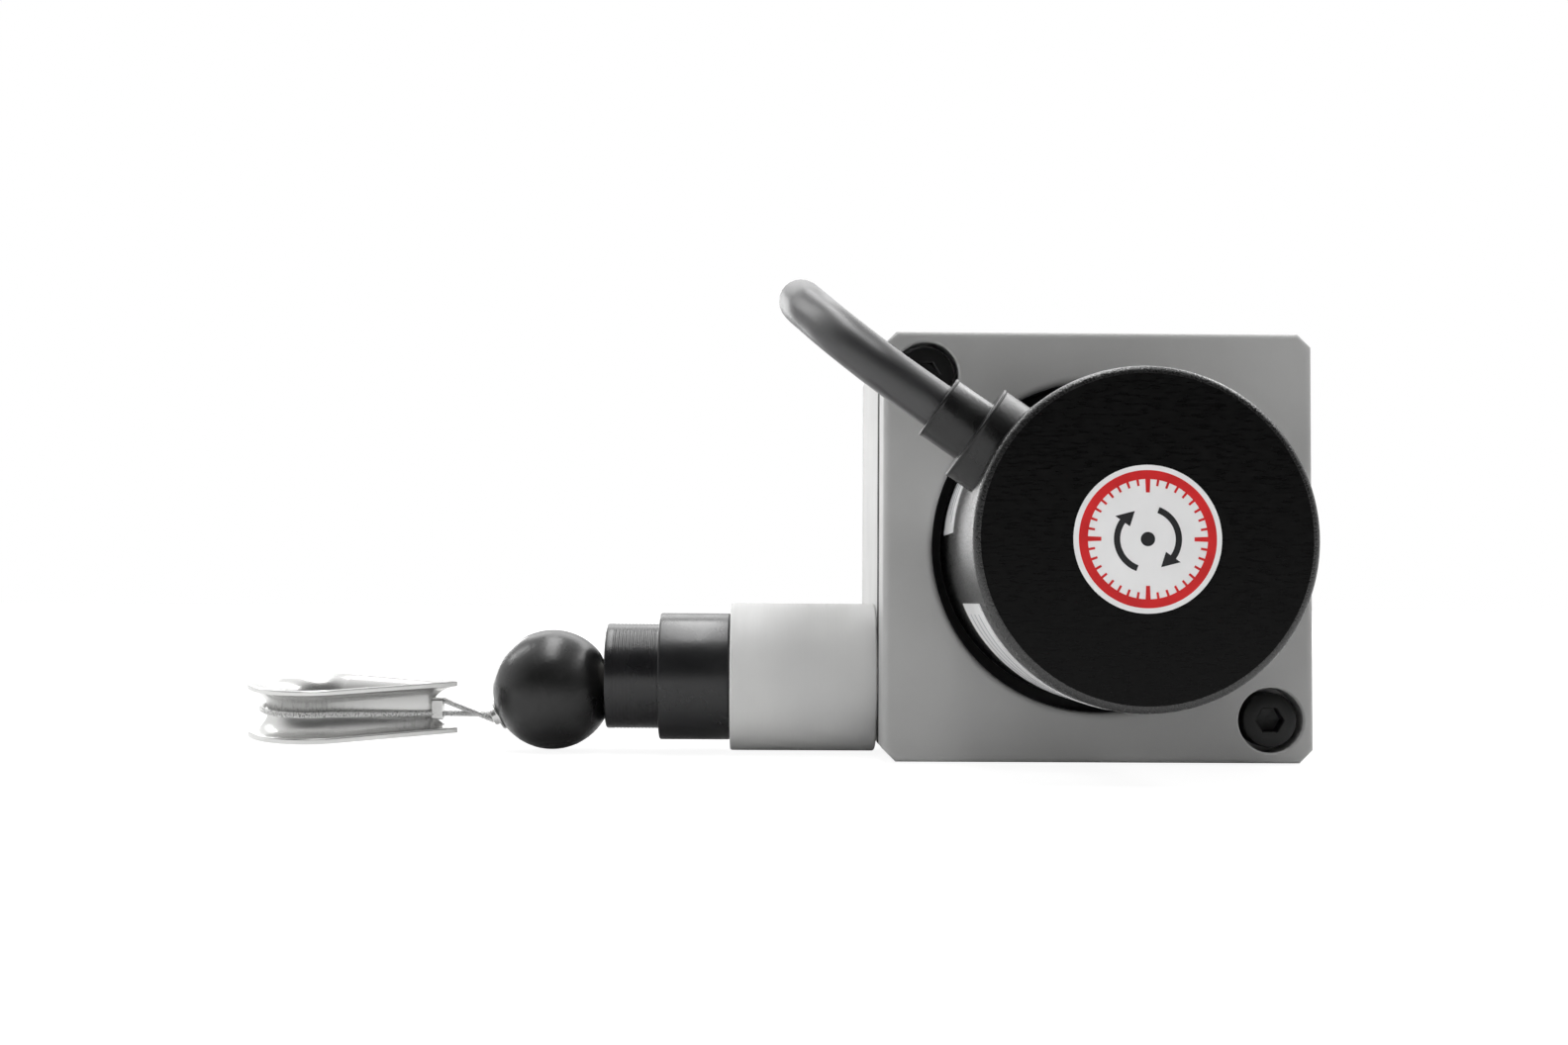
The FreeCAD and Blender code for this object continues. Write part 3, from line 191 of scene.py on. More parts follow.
COLLAR_RADIUS = 0.00595
COLLAR_TOP = 0.02225
SLEEVE_RADIUS = 0.00385
SLEEVE_TOP = 0.02745
COLLAR_SIDE = 0.0201
GROMMET_BEAD = 0.0001
GROMMET_BEAD_STEP = 0.0002
GROMMET_ROUND = 0.00015
GROMMET_SINK = 0.0001
CABLE_RADIUS = 0.00275
WIRE_WAY = 0.002
CYLINDER_FILLET = 0.0004
BUSH_FILLET = 0.00035
NOZZLE_MOUTH = 0.0054
NOZZLE_BORE = 0.0032
NOZZLE_SINK = 0.0012
NOZZLE_FILLET = 0.0003
NOZZLE_LIP = 0.001
NOZZLE_PLAIN = 0.0014
RIPPLES = 12
RIPPLE_STEPS = 6
RIPPLE_DEPTH = 0.00004
WIRE_RADIUS = 0.0004
ROPE_LAY = 0.0042
ROPE_STEP = 0.0005
ROPE_STRANDS = 6
BALL_TILT = 25.0
BALL_FLAT = 0.0003
BALL_HOLE = 0.0009
BALL_SINK_RADIUS = 0.00198
BALL_SINK_DEPTH = 0.0014
BALL_HOLE_ROUND = 0.0003
BALL_STEPS = 96
BALL_ROUND_STEPS = 160
PARTING_HEIGHT = 0.00003
PARTING_WIDTH = 0.018
FERRULE_RADIUS = 0.00125
FERRULE_LENGTH = 0.0012
FERRULE_FLANGE_RADIUS = 0.0022
FERRULE_FLANGE = 0.0004
FERRULE_PLAY = 0.00005
FERRULE_ROUND = 0.00015
THIMBLE_RIM_RADIUS = 0.0092
THIMBLE_GROOVE_RADIUS = 0.0066
THIMBLE_EYE_RADIUS = 0.0057
THIMBLE_HALF_WIDTH = 0.00355
THIMBLE_RIM = 0.0007
THIMBLE_TIP = 0.019
THIMBLE_TILT = 6.3
THIMBLE_ROUND = 0.00025
THIMBLE_STEPS = 96
SECTION_STEPS = 24
LOOP_RADIUS = 0.0073
LOOP_STEPS = 60
LOOP_TIP_HALF = 0.0009
LOOP_END_HALF = 0.00045
LOOP_BEYOND_WEB = 0.0016
WEB_GAP = 0.0001

GROMMET_AXIS = Vector((-math.cos(math.radians(GROMMET_ANGLE)), 0, math.sin(math.radians(GROMMET_ANGLE))))
GROMMET_CENTRE = Vector((0, GROMMET_Y, AXIS.z))
BALL_AXIS = Vector((math.cos(math.radians(BALL_TILT)), 0, math.sin(math.radians(BALL_TILT))))
BALL_UP = BALL_AXIS.cross(-ALONG_Y)
BALL_HALF = BALL_RADIUS - BALL_FLAT
THIMBLE_CENTRE = Vector((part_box("thimble")[0].x + THIMBLE_RIM_RADIUS, OUTLET.y, middle("thimble").z))
WEB_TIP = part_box("loop_crimp")[0].x - THIMBLE_CENTRE.x - WEB_GAP
LOOP_TIP = WEB_TIP + LOOP_BEYOND_WEB
LOOP_FROM = math.acos(LOOP_RADIUS / LOOP_TIP)
DIAGONAL = ((-SCREW_OFFSET, SCREW_OFFSET), (SCREW_OFFSET, -SCREW_OFFSET))
CORNERS = DIAGONAL + ((SCREW_OFFSET, SCREW_OFFSET), (-SCREW_OFFSET, -SCREW_OFFSET))

# The signal cable's route, as in the part's source
CABLE_FIRST_RUN = 0.0062
CABLE_POINTS = [
    (-0.03215, -0.0451, 0.05025),
    (-0.0355, -0.0415, 0.05355),
    (-0.0376, -0.0359, 0.05635),
    (-0.03825, -0.0268, 0.0586),
    (-0.0380, -0.0135, 0.0603),
    (-0.0366, 0.0010, 0.0613),
    (-0.0337, 0.0153, 0.0613),
    (-0.0286, 0.0284, 0.0603),
    (-0.0224, 0.0384, 0.0553),
    (-0.0214, 0.0458, 0.0459),
    (-0.0209, 0.0509, 0.0350),
    (-0.0208, 0.0568, 0.0236),
    (-0.02075, 0.0658, 0.0143),
    (-0.02075, 0.0773, 0.00925),
]
TIE_ANGLE = 20.0
TIE_HALF_WIDTH = 0.0018
TIE_INNER = 0.0056
TIE_OUTER = 0.0064
TIE_HEAD = 0.0024
TIE_STEPS = 48
TIE_SQUARENESS = 0.35
COIL_INNER_TURN = 0.02725
COIL_OUTER_TURN = 0.03275
COIL_STEP = 15
COIL_SWEEP = 1320
COIL_START = 180
CROSS_SPAN = 60.0
CROSS_STAGGER = 28.0
CROSS_END = 176.0
TAIL_ANGLE = -60.0
TAIL_LENGTH = 0.025
LEAD_LENGTH = 0.018
LEAD_ROOT = 0.001
LEAD_SPREAD = 0.0016
LEAD_FAN = 0.0003
LEAD_RADIUS = 0.0006
LEAD_STEPS = 12
TIP_OVERLAP = 0.0005
TIP_LENGTH = 0.0019
TIP_RADIUS = 0.00035

# Light: lamps are a name, a place, an aim, two sides and watts
LAMPS = [
    ("top_box", (-0.12, 0.17, 1.5), (-0.12, 0.22, HALF_WIDTH), (0.4, 1.6), 14.5),
    ("side_box", (1.05, 0.3, 1.25), AXIS, (1.8, 0.26), 11.0),
    ("back_box", (0.1, 1.2, 0.95), AXIS, (1.6, 0.6), 6.0),
    ("left_box", (-0.7, 1.4, 0.3), AXIS, (0.35, 0.6), 4.0),
    ("corner_box", (-1.0, 0.5, 1.0), AXIS, (0.2, 0.8), 3.5),
]
FILL_LAMP = ("fill_box", (-1.2, -0.9, 0.4), AXIS, (0.9, 0.7), 5.5)
SKY_LEVEL = 0.16
ROOM_LEVEL = 0.03
ROOM_START = -0.75
ROOM_END = 0.15
FLOOR_REACH = 4.0
FLOOR_GAP = 0.0002
FLOOR_WHITE = 0.9
FLOOR_SEEN = 0.25
FLOOR_GLOW = 0.9
GLOW_NEAR = 0.3
GLOW_FAR = 0.9

# The part of a noise's range that finishes use
NOISE_RANGE = (0.35, 0.65)


def show(name, data):
    """A new object in the scene."""
    made = bpy.data.objects.new(name, data)
    bpy.context.scene.collection.objects.link(made)
    return made


def ramp(tree, value, start, end, low, high):
    """A node that spreads a value from one range onto another."""
    made = tree.nodes.new("ShaderNodeMapRange")
    made.inputs["From Min"].default_value = start
    made.inputs["From Max"].default_value = end
    made.inputs["To Min"].default_value = low
    made.inputs["To Max"].default_value = high
    tree.links.new(value, made.inputs["Value"])
    return made


class Finish:
    """A procedural material: a Principled shader with noise for its colour, gloss and relief."""

    def __init__(self, name, roughness, metallic=0.0):
        self.material = bpy.data.materials.new(name)
        self.material.use_nodes = True
        self.tree = self.material.node_tree
        self.shader = self.tree.nodes["Principled BSDF"]
        self.place = self.node("ShaderNodeTexCoord").outputs["Object"]
        self.normal = None
        self.set("Roughness", roughness)
        self.set("Metallic", metallic)

    def node(self, kind, **settings):
        made = self.tree.nodes.new(kind)
        for key, value in settings.items():
            setattr(made, key, value)
        return made

    def link(self, output, target):
        self.tree.links.new(output, target)

    def set(self, socket, value):
        self.shader.inputs[socket].default_value = value

    def noise(self, scale, detail=3.0, stretch=(1, 1, 1)):
        mapping = self.node("ShaderNodeMapping")
        mapping.inputs["Scale"].default_value = stretch
        self.link(self.place, mapping.inputs["Vector"])
        texture = self.node("ShaderNodeTexNoise")
        texture.inputs["Scale"].default_value = scale
        texture.inputs["Detail"].default_value = detail
        self.link(mapping.outputs["Vector"], texture.inputs["Vector"])
        return texture.outputs["Fac"]

    def spread(self, factor, low, high):
        return ramp(self.tree, factor, *NOISE_RANGE, low, high).outputs["Result"]

    def colour(self, factor, dark, light):
        made = self.node("ShaderNodeMix", data_type="RGBA")
        for name, tone in (("A", dark), ("B", light)):
            socket = [s for s in made.inputs if s.name == name and s.type == "RGBA"][0]
            socket.default_value = (*tone, 1)
        self.link(self.spread(factor, 0, 1), made.inputs["Factor"])
        mixed = [s for s in made.outputs if s.type == "RGBA"][0]
        self.link(mixed, self.shader.inputs["Base Color"])

    def gloss(self, factor, low, high):
        self.link(self.spread(factor, low, high), self.shader.inputs["Roughness"])

    def relief(self, height, distance):
        bump = self.node("ShaderNodeBump")
        bump.inputs["Distance"].default_value = distance
        bump.inputs["Strength"].default_value = 1.0
        self.link(height, bump.inputs["Height"])
        if self.normal is not None:
            self.link(self.normal, bump.inputs["Normal"])
        self.normal = bump.outputs["Normal"]
        self.link(self.normal, self.shader.inputs["Normal"])


def worn_metal(
        name, dark, light, roughness, grain_scale, stretch=(1, 1, 1),
        metallic=1.0, relief=0.00001, wear=0.07):
    """Metal with drifting tone, and fine marks that stretch along the way it was worked."""
    finish = Finish(name, roughness, metallic)
    marks = finish.noise(grain_scale, 3.0, stretch)
    drift = finish.noise(90.0, 3.0)
    finish.colour(drift, dark, light)
    finish.gloss(marks, roughness - wear, roughness + wear)
    finish.relief(marks, relief)
    return finish


def moulded(name, dark, light, roughness, grain_scale, relief, sheen=0.0, shine=0.5):
    """Plastic or rubber with a fine skin and faint cloudy tone."""
    finish = Finish(name, roughness)
    finish.set("Specular IOR Level", shine)
    grain = finish.noise(grain_scale, 3.0)
    drift = finish.noise(160.0, 4.0)
    finish.colour(drift, dark, light)
    finish.gloss(drift, roughness - 0.05, roughness + 0.08)
    finish.relief(grain, relief)
    finish.set("Sheen Weight", sheen)
    return finish


def can_paint():
    """Fine-texture paint: the grain breaks up its highlights."""
    finish = Finish("can_paint", 0.3)
    skin = finish.noise(1900.0, 5.0)
    speck = finish.noise(4200.0, 2.0)
    finish.set("Specular IOR Level", 0.9)
    finish.colour(skin, (0.004, 0.004, 0.004), (0.008, 0.008, 0.008))
    finish.gloss(speck, 0.22, 0.38)
    finish.relief(speck, 0.00007)
    return finish


def can_face_shaded():
    """The can's flat front: a smoother, duller and darker copy of the can's paint, as painted shade, with
    faint streaks across.
    """
    finish = Finish("can_face_shaded", 0.3)
    streaks = finish.noise(2600.0, 4.0, (0.22, 1, 1))
    finish.set("Specular IOR Level", 0.14)
    finish.colour(streaks, (0.0025, 0.0025, 0.0025), (0.0045, 0.0045, 0.0045))
    finish.gloss(streaks, 0.24, 0.38)
    finish.relief(streaks, 0.000006)
    return finish


def cable_jacket():
    finish = Finish("cable_jacket", 0.34)
    finish.set("Specular IOR Level", 0.95)
    lay = finish.noise(110.0, 0.0)
    skin = finish.noise(2600.0, 2.0)
    finish.colour(lay, (0.008, 0.008, 0.009), (0.014, 0.014, 0.015))
    finish.gloss(lay, 0.36, 0.44)
    finish.relief(lay, 0.0013)
    finish.relief(skin, 0.000004)
    return finish


def board_green():
    finish = Finish("board_green", 0.35)
    tracks = finish.node("ShaderNodeTexWave", wave_type="BANDS", bands_direction="X")
    tracks.inputs["Scale"].default_value = 260.0
    tracks.inputs["Distortion"].default_value = 3.0
    finish.link(finish.place, tracks.inputs["Vector"])
    finish.colour(tracks.outputs["Fac"], (0.02, 0.12, 0.045), (0.05, 0.24, 0.1))
    finish.relief(tracks.outputs["Fac"], 0.00003)
    return finish


def disc_glass():
    finish = Finish("disc_glass", 0.08)
    lines = finish.noise(1400.0, 1.0)
    finish.colour(lines, (0.5, 0.56, 0.54), (0.82, 0.86, 0.84))
    finish.gloss(lines, 0.04, 0.16)
    finish.set("Transmission Weight", 0.6)
    return finish


def lead_finish(name, colour):
    finish = Finish(name, 0.4)
    drift = finish.noise(300.0, 2.0)
    finish.colour(drift, [0.85 * c for c in colour], colour)
    finish.gloss(drift, 0.34, 0.48)
    finish.relief(finish.noise(3000.0, 2.0), 0.00001)
    return finish


FINISHES = {
    "anodised_grey": worn_metal(
        "anodised_grey", (0.46, 0.46, 0.455), (0.49, 0.49, 0.485), 0.55, 5200.0,
        metallic=0.1, relief=0.000012),
    "natural_aluminium": worn_metal(
        "natural_aluminium", (0.69, 0.69, 0.685), (0.73, 0.73, 0.72), 0.6, 3000.0,
        (1, 0.04, 0.04), metallic=0.05),
    "black_screw": worn_metal(
        "black_screw", (0.012, 0.012, 0.012), (0.022, 0.022, 0.022), 0.38, 4000.0, metallic=0.5),
    "bearing_steel": worn_metal(
        "bearing_steel", (0.56, 0.56, 0.57), (0.66, 0.66, 0.67), 0.2, 3500.0, (1, 0.05, 1)),
    "steel": worn_metal("steel", (0.46, 0.46, 0.47), (0.58, 0.58, 0.58), 0.3, 3500.0, (0.05, 1, 0.05)),
    "spring_steel": worn_metal(
        "spring_steel", (0.24, 0.28, 0.36), (0.4, 0.42, 0.46), 0.28, 3000.0, (0.1, 1, 0.1)),
    "wire_rope": worn_metal(
        "wire_rope", (0.56, 0.56, 0.56), (0.68, 0.68, 0.67), 0.3, 5000.0, metallic=0.7),
    "stainless": worn_metal(
        "stainless", (0.68, 0.68, 0.67), (0.73, 0.73, 0.72), 0.24, 700.0,
        metallic=0.8, relief=0.000001, wear=0.02),
    "can_paint": can_paint(),
    "disc_glass": disc_glass(),
    "sensor_plastic": moulded(
        "sensor_plastic", (0.02, 0.02, 0.02), (0.04, 0.04, 0.04), 0.5, 3000.0, 0.00002),
    "board_green": board_green(),
    "label_white": moulded(
        "label_white", (0.9, 0.9, 0.9), (0.94, 0.94, 0.94), 0.34, 2500.0, 0.000008),
    "grommet_rubber": moulded(
        "grommet_rubber", (0.008, 0.008, 0.008), (0.014, 0.014, 0.014), 0.3, 2200.0, 0.00002),
    "cable_jacket": cable_jacket(),
    "lead_colours": lead_finish("lead_colours", (0.5, 0.05, 0.04)),
    "tie_plastic": moulded(
        "tie_plastic", (0.02, 0.02, 0.02), (0.035, 0.035, 0.035), 0.45, 2500.0, 0.00002),
    "felt": moulded("felt", (0.45, 0.43, 0.38), (0.66, 0.63, 0.56), 0.95, 1800.0, 0.0002, sheen=0.5),
    "outlet_plastic": moulded(
        "outlet_plastic", (0.008, 0.008, 0.009), (0.013, 0.013, 0.014), 0.28, 2600.0,
        0.00001, shine=0.6),
    "ceramic": moulded("ceramic", (0.82, 0.8, 0.74), (0.9, 0.88, 0.82), 0.18, 900.0, 0.000006),
}
# A darker, less shiny copy of the can's paint for its front: painted shade
CAN_FACE_SHADED = can_face_shaded().material
# Near-black paint for the film in the pocket: painted shade
POCKET_SHADE_PAINT = moulded(
    "pocket_shade_paint", (0.022, 0.022, 0.022), (0.034, 0.034, 0.034), 0.55, 2600.0,
    0.00002, shine=0.3).material
# Near-black paint for that band: a painted shadow in the seam between plate and body
SEAM_SHADOW_PAINT = moulded(
    "seam_shadow_paint", (0.018, 0.018, 0.017), (0.03, 0.03, 0.028), 0.6, 2600.0,
    0.00001, shine=0.05).material
PRINT_RED = lead_finish("print_red", (0.72, 0.012, 0.014)).material
PRINT_BLACK = lead_finish("print_black", (0.012, 0.012, 0.014)).material
PRINT_GREY = lead_finish("print_grey", (0.3, 0.32, 0.36)).material
MILLED = worn_metal(
    "milled_aluminium", (0.5, 0.5, 0.495), (0.54, 0.54, 0.53), 0.56, 2400.0,
    (1, 1, 0.04), metallic=0.1).material
NODE_FINISHES = {"drum_housing": MILLED}
COPPER = worn_metal("copper", (0.6, 0.28, 0.16), (0.78, 0.4, 0.24), 0.3, 3000.0).material
LEAD_FINISHES = [
    lead_finish("lead_red", (0.5, 0.03, 0.025)).material,
    lead_finish("lead_black", (0.015, 0.015, 0.016)).material,
    lead_finish("lead_green", (0.03, 0.26, 0.06)).material,
    lead_finish("lead_white", (0.72, 0.72, 0.7)).material,
    lead_finish("lead_yellow", (0.62, 0.42, 0.03)).material,
]


def dress_nodes():
    """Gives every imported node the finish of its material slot."""
    for subpart in frame["record"]["subparts"]:
        mesh = frame["nodes"][subpart["node"]].data
        mesh.materials.clear()
        own = NODE_FINISHES.get(subpart["node"])
        mesh.materials.append(own or FINISHES[subpart["material_slot"]].material)


def piece(name, solid, body, slot, stands_for=(), material=None, sharp=32.0):
    """A closed mesh with outward faces that moves with a body."""
    mesh = bpy.data.meshes.new(name)
    mesh.from_pydata([tuple(point) for point in solid.points], [], solid.faces)
    work = bmesh.new()
    work.from_mesh(mesh)
    bmesh.ops.remove_doubles(work, verts=work.verts, dist=1e-8)
    bmesh.ops.recalc_face_normals(work, faces=work.faces)
    work.to_mesh(mesh)
    work.free()
    mesh.shade_smooth()
    mesh.set_sharp_from_angle(angle=math.radians(sharp))
    mesh.materials.append(material or FINISHES[slot].material)
    made = show(name, mesh)
    if body:
        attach(made, body)
    if stands_for:
        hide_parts(*stands_for)
    return made


def rounded(corners, radius, steps=4):
    """Rounds the corners of an open outline of (radius, distance) points, apart from its two ends."""
    points = [corners[0]]
    for before, corner, after in zip(corners, corners[1:], corners[2:]):
        corner = Vector(corner)
        back = Vector(before) - corner
        ahead = Vector(after) - corner
        reach = min(radius, back.length / 2, ahead.length / 2)
        first = corner + back.normalized() * reach
        last = corner + ahead.normalized() * reach
        for step in range(steps + 1):
            share = step / steps
            inner = first.lerp(corner, share)
            points.append(tuple(inner.lerp(corner.lerp(last, share), share)))
    points.append(corners[-1])
    return points


def turn_points(rows, base, along, across, steps):
    """Rings of points about an axis, one per row. A row's radius or distance may depend on the angle."""
    third = along.cross(across)
    rings = []
    for radius, distance in rows:
        ring = []
        for step in range(steps):
            angle = 2 * math.pi * step / steps
            far = radius(angle) if callable(radius) else radius
            up = distance(angle) if callable(distance) else distance
            ring.append(base + along * up + (across * math.cos(angle) + third * math.sin(angle)) * far)
        rings.append(ring)
    return rings


def grid_faces(rows, columns, first=0, close_rows=False, close_columns=True):
    faces = []
    for row in range(rows if close_rows else rows - 1):
        low = first + row * columns
        high = first + (row + 1) % rows * columns
        for column in range(columns if close_columns else columns - 1):
            after = (column + 1) % columns
            faces.append((low + column, low + after, high + after, high + column))
    return faces


def path_frames(path):
    """The points of a line, each with two directions across it that don't twist."""
    side = None
    for index, point in enumerate(path):
        before = path[max(index - 1, 0)]
        after = path[min(index + 1, len(path) - 1)]
        along = (after - before).normalized()
        if side is None:
            side = along.orthogonal().normalized()
        side = (side - along * side.dot(along)).normalized()
        yield point, side, along.cross(side)


class Solid:
    """Gathers points and faces of one or more closed shapes for one piece."""

    def __init__(self):
        self.points = []
        self.faces = []

    def cap(self, first, count):
        """A face across one ring of points."""
        self.faces.append(tuple(range(first, first + count)))

    def turn(self, rows, base, along, across, steps=96, closed=False):
        """A turned shape: closed joins the last row to the first, else both ends get a cap."""
        first = len(self.points)
        rings = turn_points(rows, base, along, across, steps)
        for ring in rings:
            self.points += ring
        self.faces += grid_faces(len(rings), steps, first, close_rows=closed)
        if not closed:
            self.cap(first, steps)
            self.cap(len(self.points) - steps, steps)

    def tube(self, path, radius, sides=8):
        """A round tube with capped ends along a line of points."""
        first = len(self.points)
        for point, side, third in path_frames(path):
            for step in range(sides):
                angle = 2 * math.pi * step / sides
                self.points.append(point + (side * math.cos(angle) + third * math.sin(angle)) * radius)
        self.faces += grid_faces(len(path), sides, first)
        self.cap(first, sides)
        self.cap(len(self.points) - sides, sides)

    def slab(self, outline, thickness):
        """A flat outline of points made thick."""
        first = len(self.points)
        count = len(outline)
        self.points += outline
        self.points += [point + thickness for point in outline]
        self.cap(first, count)
        self.cap(first + count, count)
        self.faces += grid_faces(2, count, first)


def turned_piece(
        name, rows, base, along, across, steps, slot,
        stands_for=(), material=None, body="housing", closed=False):
    solid = Solid()
    solid.turn(rows, base, along, across, steps, closed)
    piece(name, solid, body, slot, stands_for, material)


def hexagon(across_flats):
    """Radius of a hexagon at an angle."""
    def radius(angle):
        turn = angle % (math.pi / 3) - math.pi / 6
        return across_flats / 2 / math.cos(turn)
    return radius


# Housing

def square_outline(inset, y):
    half = HALF_WIDTH - inset
    flat = HALF_WIDTH - CORNER_CHAMFER - inset * (math.sqrt(2) - 1)
    corners = [
        (-flat, -half), (flat, -half), (half, -flat), (half, flat),
        (flat, half), (-flat, half), (-half, flat), (-half, -flat),
    ]
    return [Vector((x, y, AXIS.z + z)) for x, z in corners]


def rounded_edge(corners, radius, steps):
    """Rounds an outline that starts at the edge of a flat face, with a strip of the face before it."""
    start, depth = corners[0]
    rows = rounded([(start + EDGE_LEAD * radius, depth)] + corners, radius, steps)
    rows[0] = (start + EDGE_STRIP * radius, depth)
    return rows


def bored_block(name, node, face_y, back_y, holes, slot):
    """A square block with chamfered corners, a rounded front edge and blind round holes in its face.
    A hole is its centre and its rows of (radius, depth), from the face to its floor."""
    inward = 1 if back_y > face_y else -1
    solid = Solid()
    thickness = abs(back_y - face_y)
    rows = [(0, 0), (0, thickness - SEAM_CHAMFER), (SEAM_CHAMFER, thickness)]
    rows = rounded_edge(rows, FACE_ROUND, 6)
    loops = [square_outline(inset, face_y + inward * depth) for inset, depth in rows]
    for loop in loops:
        solid.points += loop
    solid.faces += grid_faces(len(loops), 8)
    solid.cap(len(solid.points) - 8, 8)
    face_loops = [loops[0]]
    face_index = list(range(8))
    for (x, z), hole_rows in holes:
        first = len(solid.points)
        centre = Vector((x, face_y, AXIS.z + z))
        rings = turn_points(hole_rows, centre, ALONG_Y * inward, ALONG_X, ROUND_STEPS)
        for ring in rings:
            solid.points += ring
        solid.faces += grid_faces(len(rings), ROUND_STEPS, first)
        solid.cap(len(solid.points) - ROUND_STEPS, ROUND_STEPS)
        face_loops.append(rings[0])
        face_index += list(range(first, first + ROUND_STEPS))
    flat = [[Vector((point.x, point.z, 0)) for point in loop] for loop in face_loops]
    for triangle in tessellate_polygon(flat):
        solid.faces.append(tuple(face_index[corner] for corner in triangle))
    piece(name, solid, "housing", slot, (node,))


def straight_hole(radius, depth):
    return [(radius + HOLE_CHAMFER, 0), (radius, HOLE_CHAMFER), (radius, depth)]


def front_plate():
    pocket = rounded_edge([(POCKET_RADIUS, 0), (POCKET_RADIUS, POCKET_DEPTH)], POCKET_ROUND, 8)
    holes = [((0, 0), pocket)]
    for corner in DIAGONAL:
        holes.append((corner, straight_hole(COUNTERBORE_RADIUS, HEAD_SINK + HEAD_HEIGHT)))
    bored_block("plate_form", "front_plate", FRONT_Y, BODY_FRONT_Y, holes, "anodised_grey")


def painted_seam_shadow():
    """A painted shadow: a dark band round the plate next to the body, standing in for the shade in the seam
    between them.
    """
    end = BODY_FRONT_Y - 2 * SEAM_CHAMFER
    start = end - SEAM_SHADOW_WIDTH
    solid = Solid()
    for inset, y in ((-FILM, start), (-FILM, end), (FILM, end), (FILM, start)):
        solid.points += square_outline(inset, y)
    solid.faces += grid_faces(4, 8, close_rows=True)
    piece("seam_band_form", solid, "housing", "anodised_grey", material=SEAM_SHADOW_PAINT)


def pocket_painted_shade():
    """Painted shade: a near-black film over the pocket's wall and floor, seen as a dark ring round the can.
    """
    inner = CAN_RADIUS + FILM
    wall = POCKET_RADIUS - FILM
    bottom = POCKET_DEPTH - FILM
    rows = [
        (wall, POCKET_SHADE_START), (wall, bottom), (inner, bottom), (inner, bottom - POCKET_SHADE_FILM),
        (wall - POCKET_SHADE_FILM, bottom - POCKET_SHADE_FILM), (wall - POCKET_SHADE_FILM, POCKET_SHADE_START),
    ]
    base = Vector((0, FRONT_Y, AXIS.z))
    turned_piece(
        "pocket_painted_shade", rows, base, ALONG_Y, ALONG_X, ROUND_STEPS, "black_screw",
        material=POCKET_SHADE_PAINT, closed=True)


def rear_cover():
    sink = SMALL_HEAD_RADIUS - SMALL_SCREW_RADIUS
    rows = [
        (SMALL_HEAD_RADIUS + HOLE_CHAMFER, 0), (SMALL_SCREW_RADIUS, sink + HOLE_CHAMFER),
        (SMALL_SCREW_RADIUS, COVER_HOLE_DEPTH),
    ]
    holes = [(corner, rows) for corner in CORNERS]
    bored_block("cover_form", "rear_cover", REAR_Y, BODY_REAR_Y, holes, "anodised_grey")


def socket_rows(across, depth, rim):
    """From the middle of a hexagon socket's floor out to the rim of the head."""
    hexagonal = hexagon(across)
    flared = hexagon(across + SOCKET_FLARE)
    return [
        (0, depth * SOCKET_POINT), (hexagonal, depth), (hexagonal, SOCKET_LIP),
        (flared, 0), (rim - HEAD_LIP, 0),
    ]


def plate_screws():
    solid = Solid()
    for x, z in DIAGONAL:
        base = Vector((x, FRONT_Y + HEAD_SINK, AXIS.z + z))
        rows = socket_rows(HEAD_HEX, HEAD_HEX_DEPTH, HEAD_RADIUS)
        rows += [(HEAD_RADIUS - HEAD_ROUND, HEAD_ROUND), (HEAD_RADIUS, HEAD_LIP)]
        rows += [(HEAD_RADIUS, HEAD_HEIGHT), (0, HEAD_HEIGHT)]
        solid.turn(rows, base, ALONG_Y, ALONG_X)
    piece("plate_screw_forms", solid, "housing", "black_screw", ("plate_screws",))


def cover_screws():
    solid = Solid()
    sink = SMALL_HEAD_RADIUS - SMALL_SCREW_RADIUS
    for x, z in CORNERS:
        base = Vector((x, REAR_Y, AXIS.z + z))
        rows = socket_rows(SMALL_HEX, SMALL_HEX_DEPTH, SMALL_HEAD_RADIUS)
        rows += [(SMALL_HEAD_RADIUS - SMALL_HEAD_ROUND, SMALL_HEAD_EDGE)]
        rows += [(SMALL_SCREW_RADIUS, sink), (SMALL_SCREW_RADIUS, SMALL_SCREW_LENGTH)]
        solid.turn(rows, base, -ALONG_Y, ALONG_X)
    piece("cover_screw_forms", solid, "housing", "black_screw", ("cover_screws",))


# Encoder

def encoder_can():
    inner = CAN_RADIUS - CAN_WALL
    outer = [(0, CAN_FRONT_Y), (CAN_RADIUS, CAN_FRONT_Y), (CAN_RADIUS, CAN_REAR_Y)]
    rows = rounded(outer, CAN_FILLET, 8)
    rows += [(inner, CAN_REAR_Y), (inner, CAN_FRONT_Y + CAN_WALL), (0, CAN_FRONT_Y + CAN_WALL)]
    turned_piece("can_form", rows, AXIS, ALONG_Y, ALONG_X, CAN_STEPS, "can_paint", ("encoder_can",))
    flat = CAN_RADIUS - CAN_FACE_INSET
    front = CAN_FRONT_Y - FILM
    back = CAN_FRONT_Y + FILM
    rows = [(0, front), (flat, front), (flat, back), (0, back)]
    turned_piece(
        "can_face_form", rows, AXIS, ALONG_Y, ALONG_X, CAN_STEPS, "can_paint", material=CAN_FACE_SHADED)


def on_dial(radius, angle):
    """A point on the sticker's face, at an angle from the top."""
    return Vector((radius * math.sin(angle), STICKER_Y, AXIS.z + radius * math.cos(angle)))


def ring_sector(inner, outer, start, end, steps):
    """Outline of part of a flat ring on the sticker, in degrees from the top."""
    angles = [math.radians(start + (end - start) * step / steps) for step in range(steps + 1)]
    there = [on_dial(outer, angle) for angle in angles]
    return there + [on_dial(inner, angle) for angle in reversed(angles)]


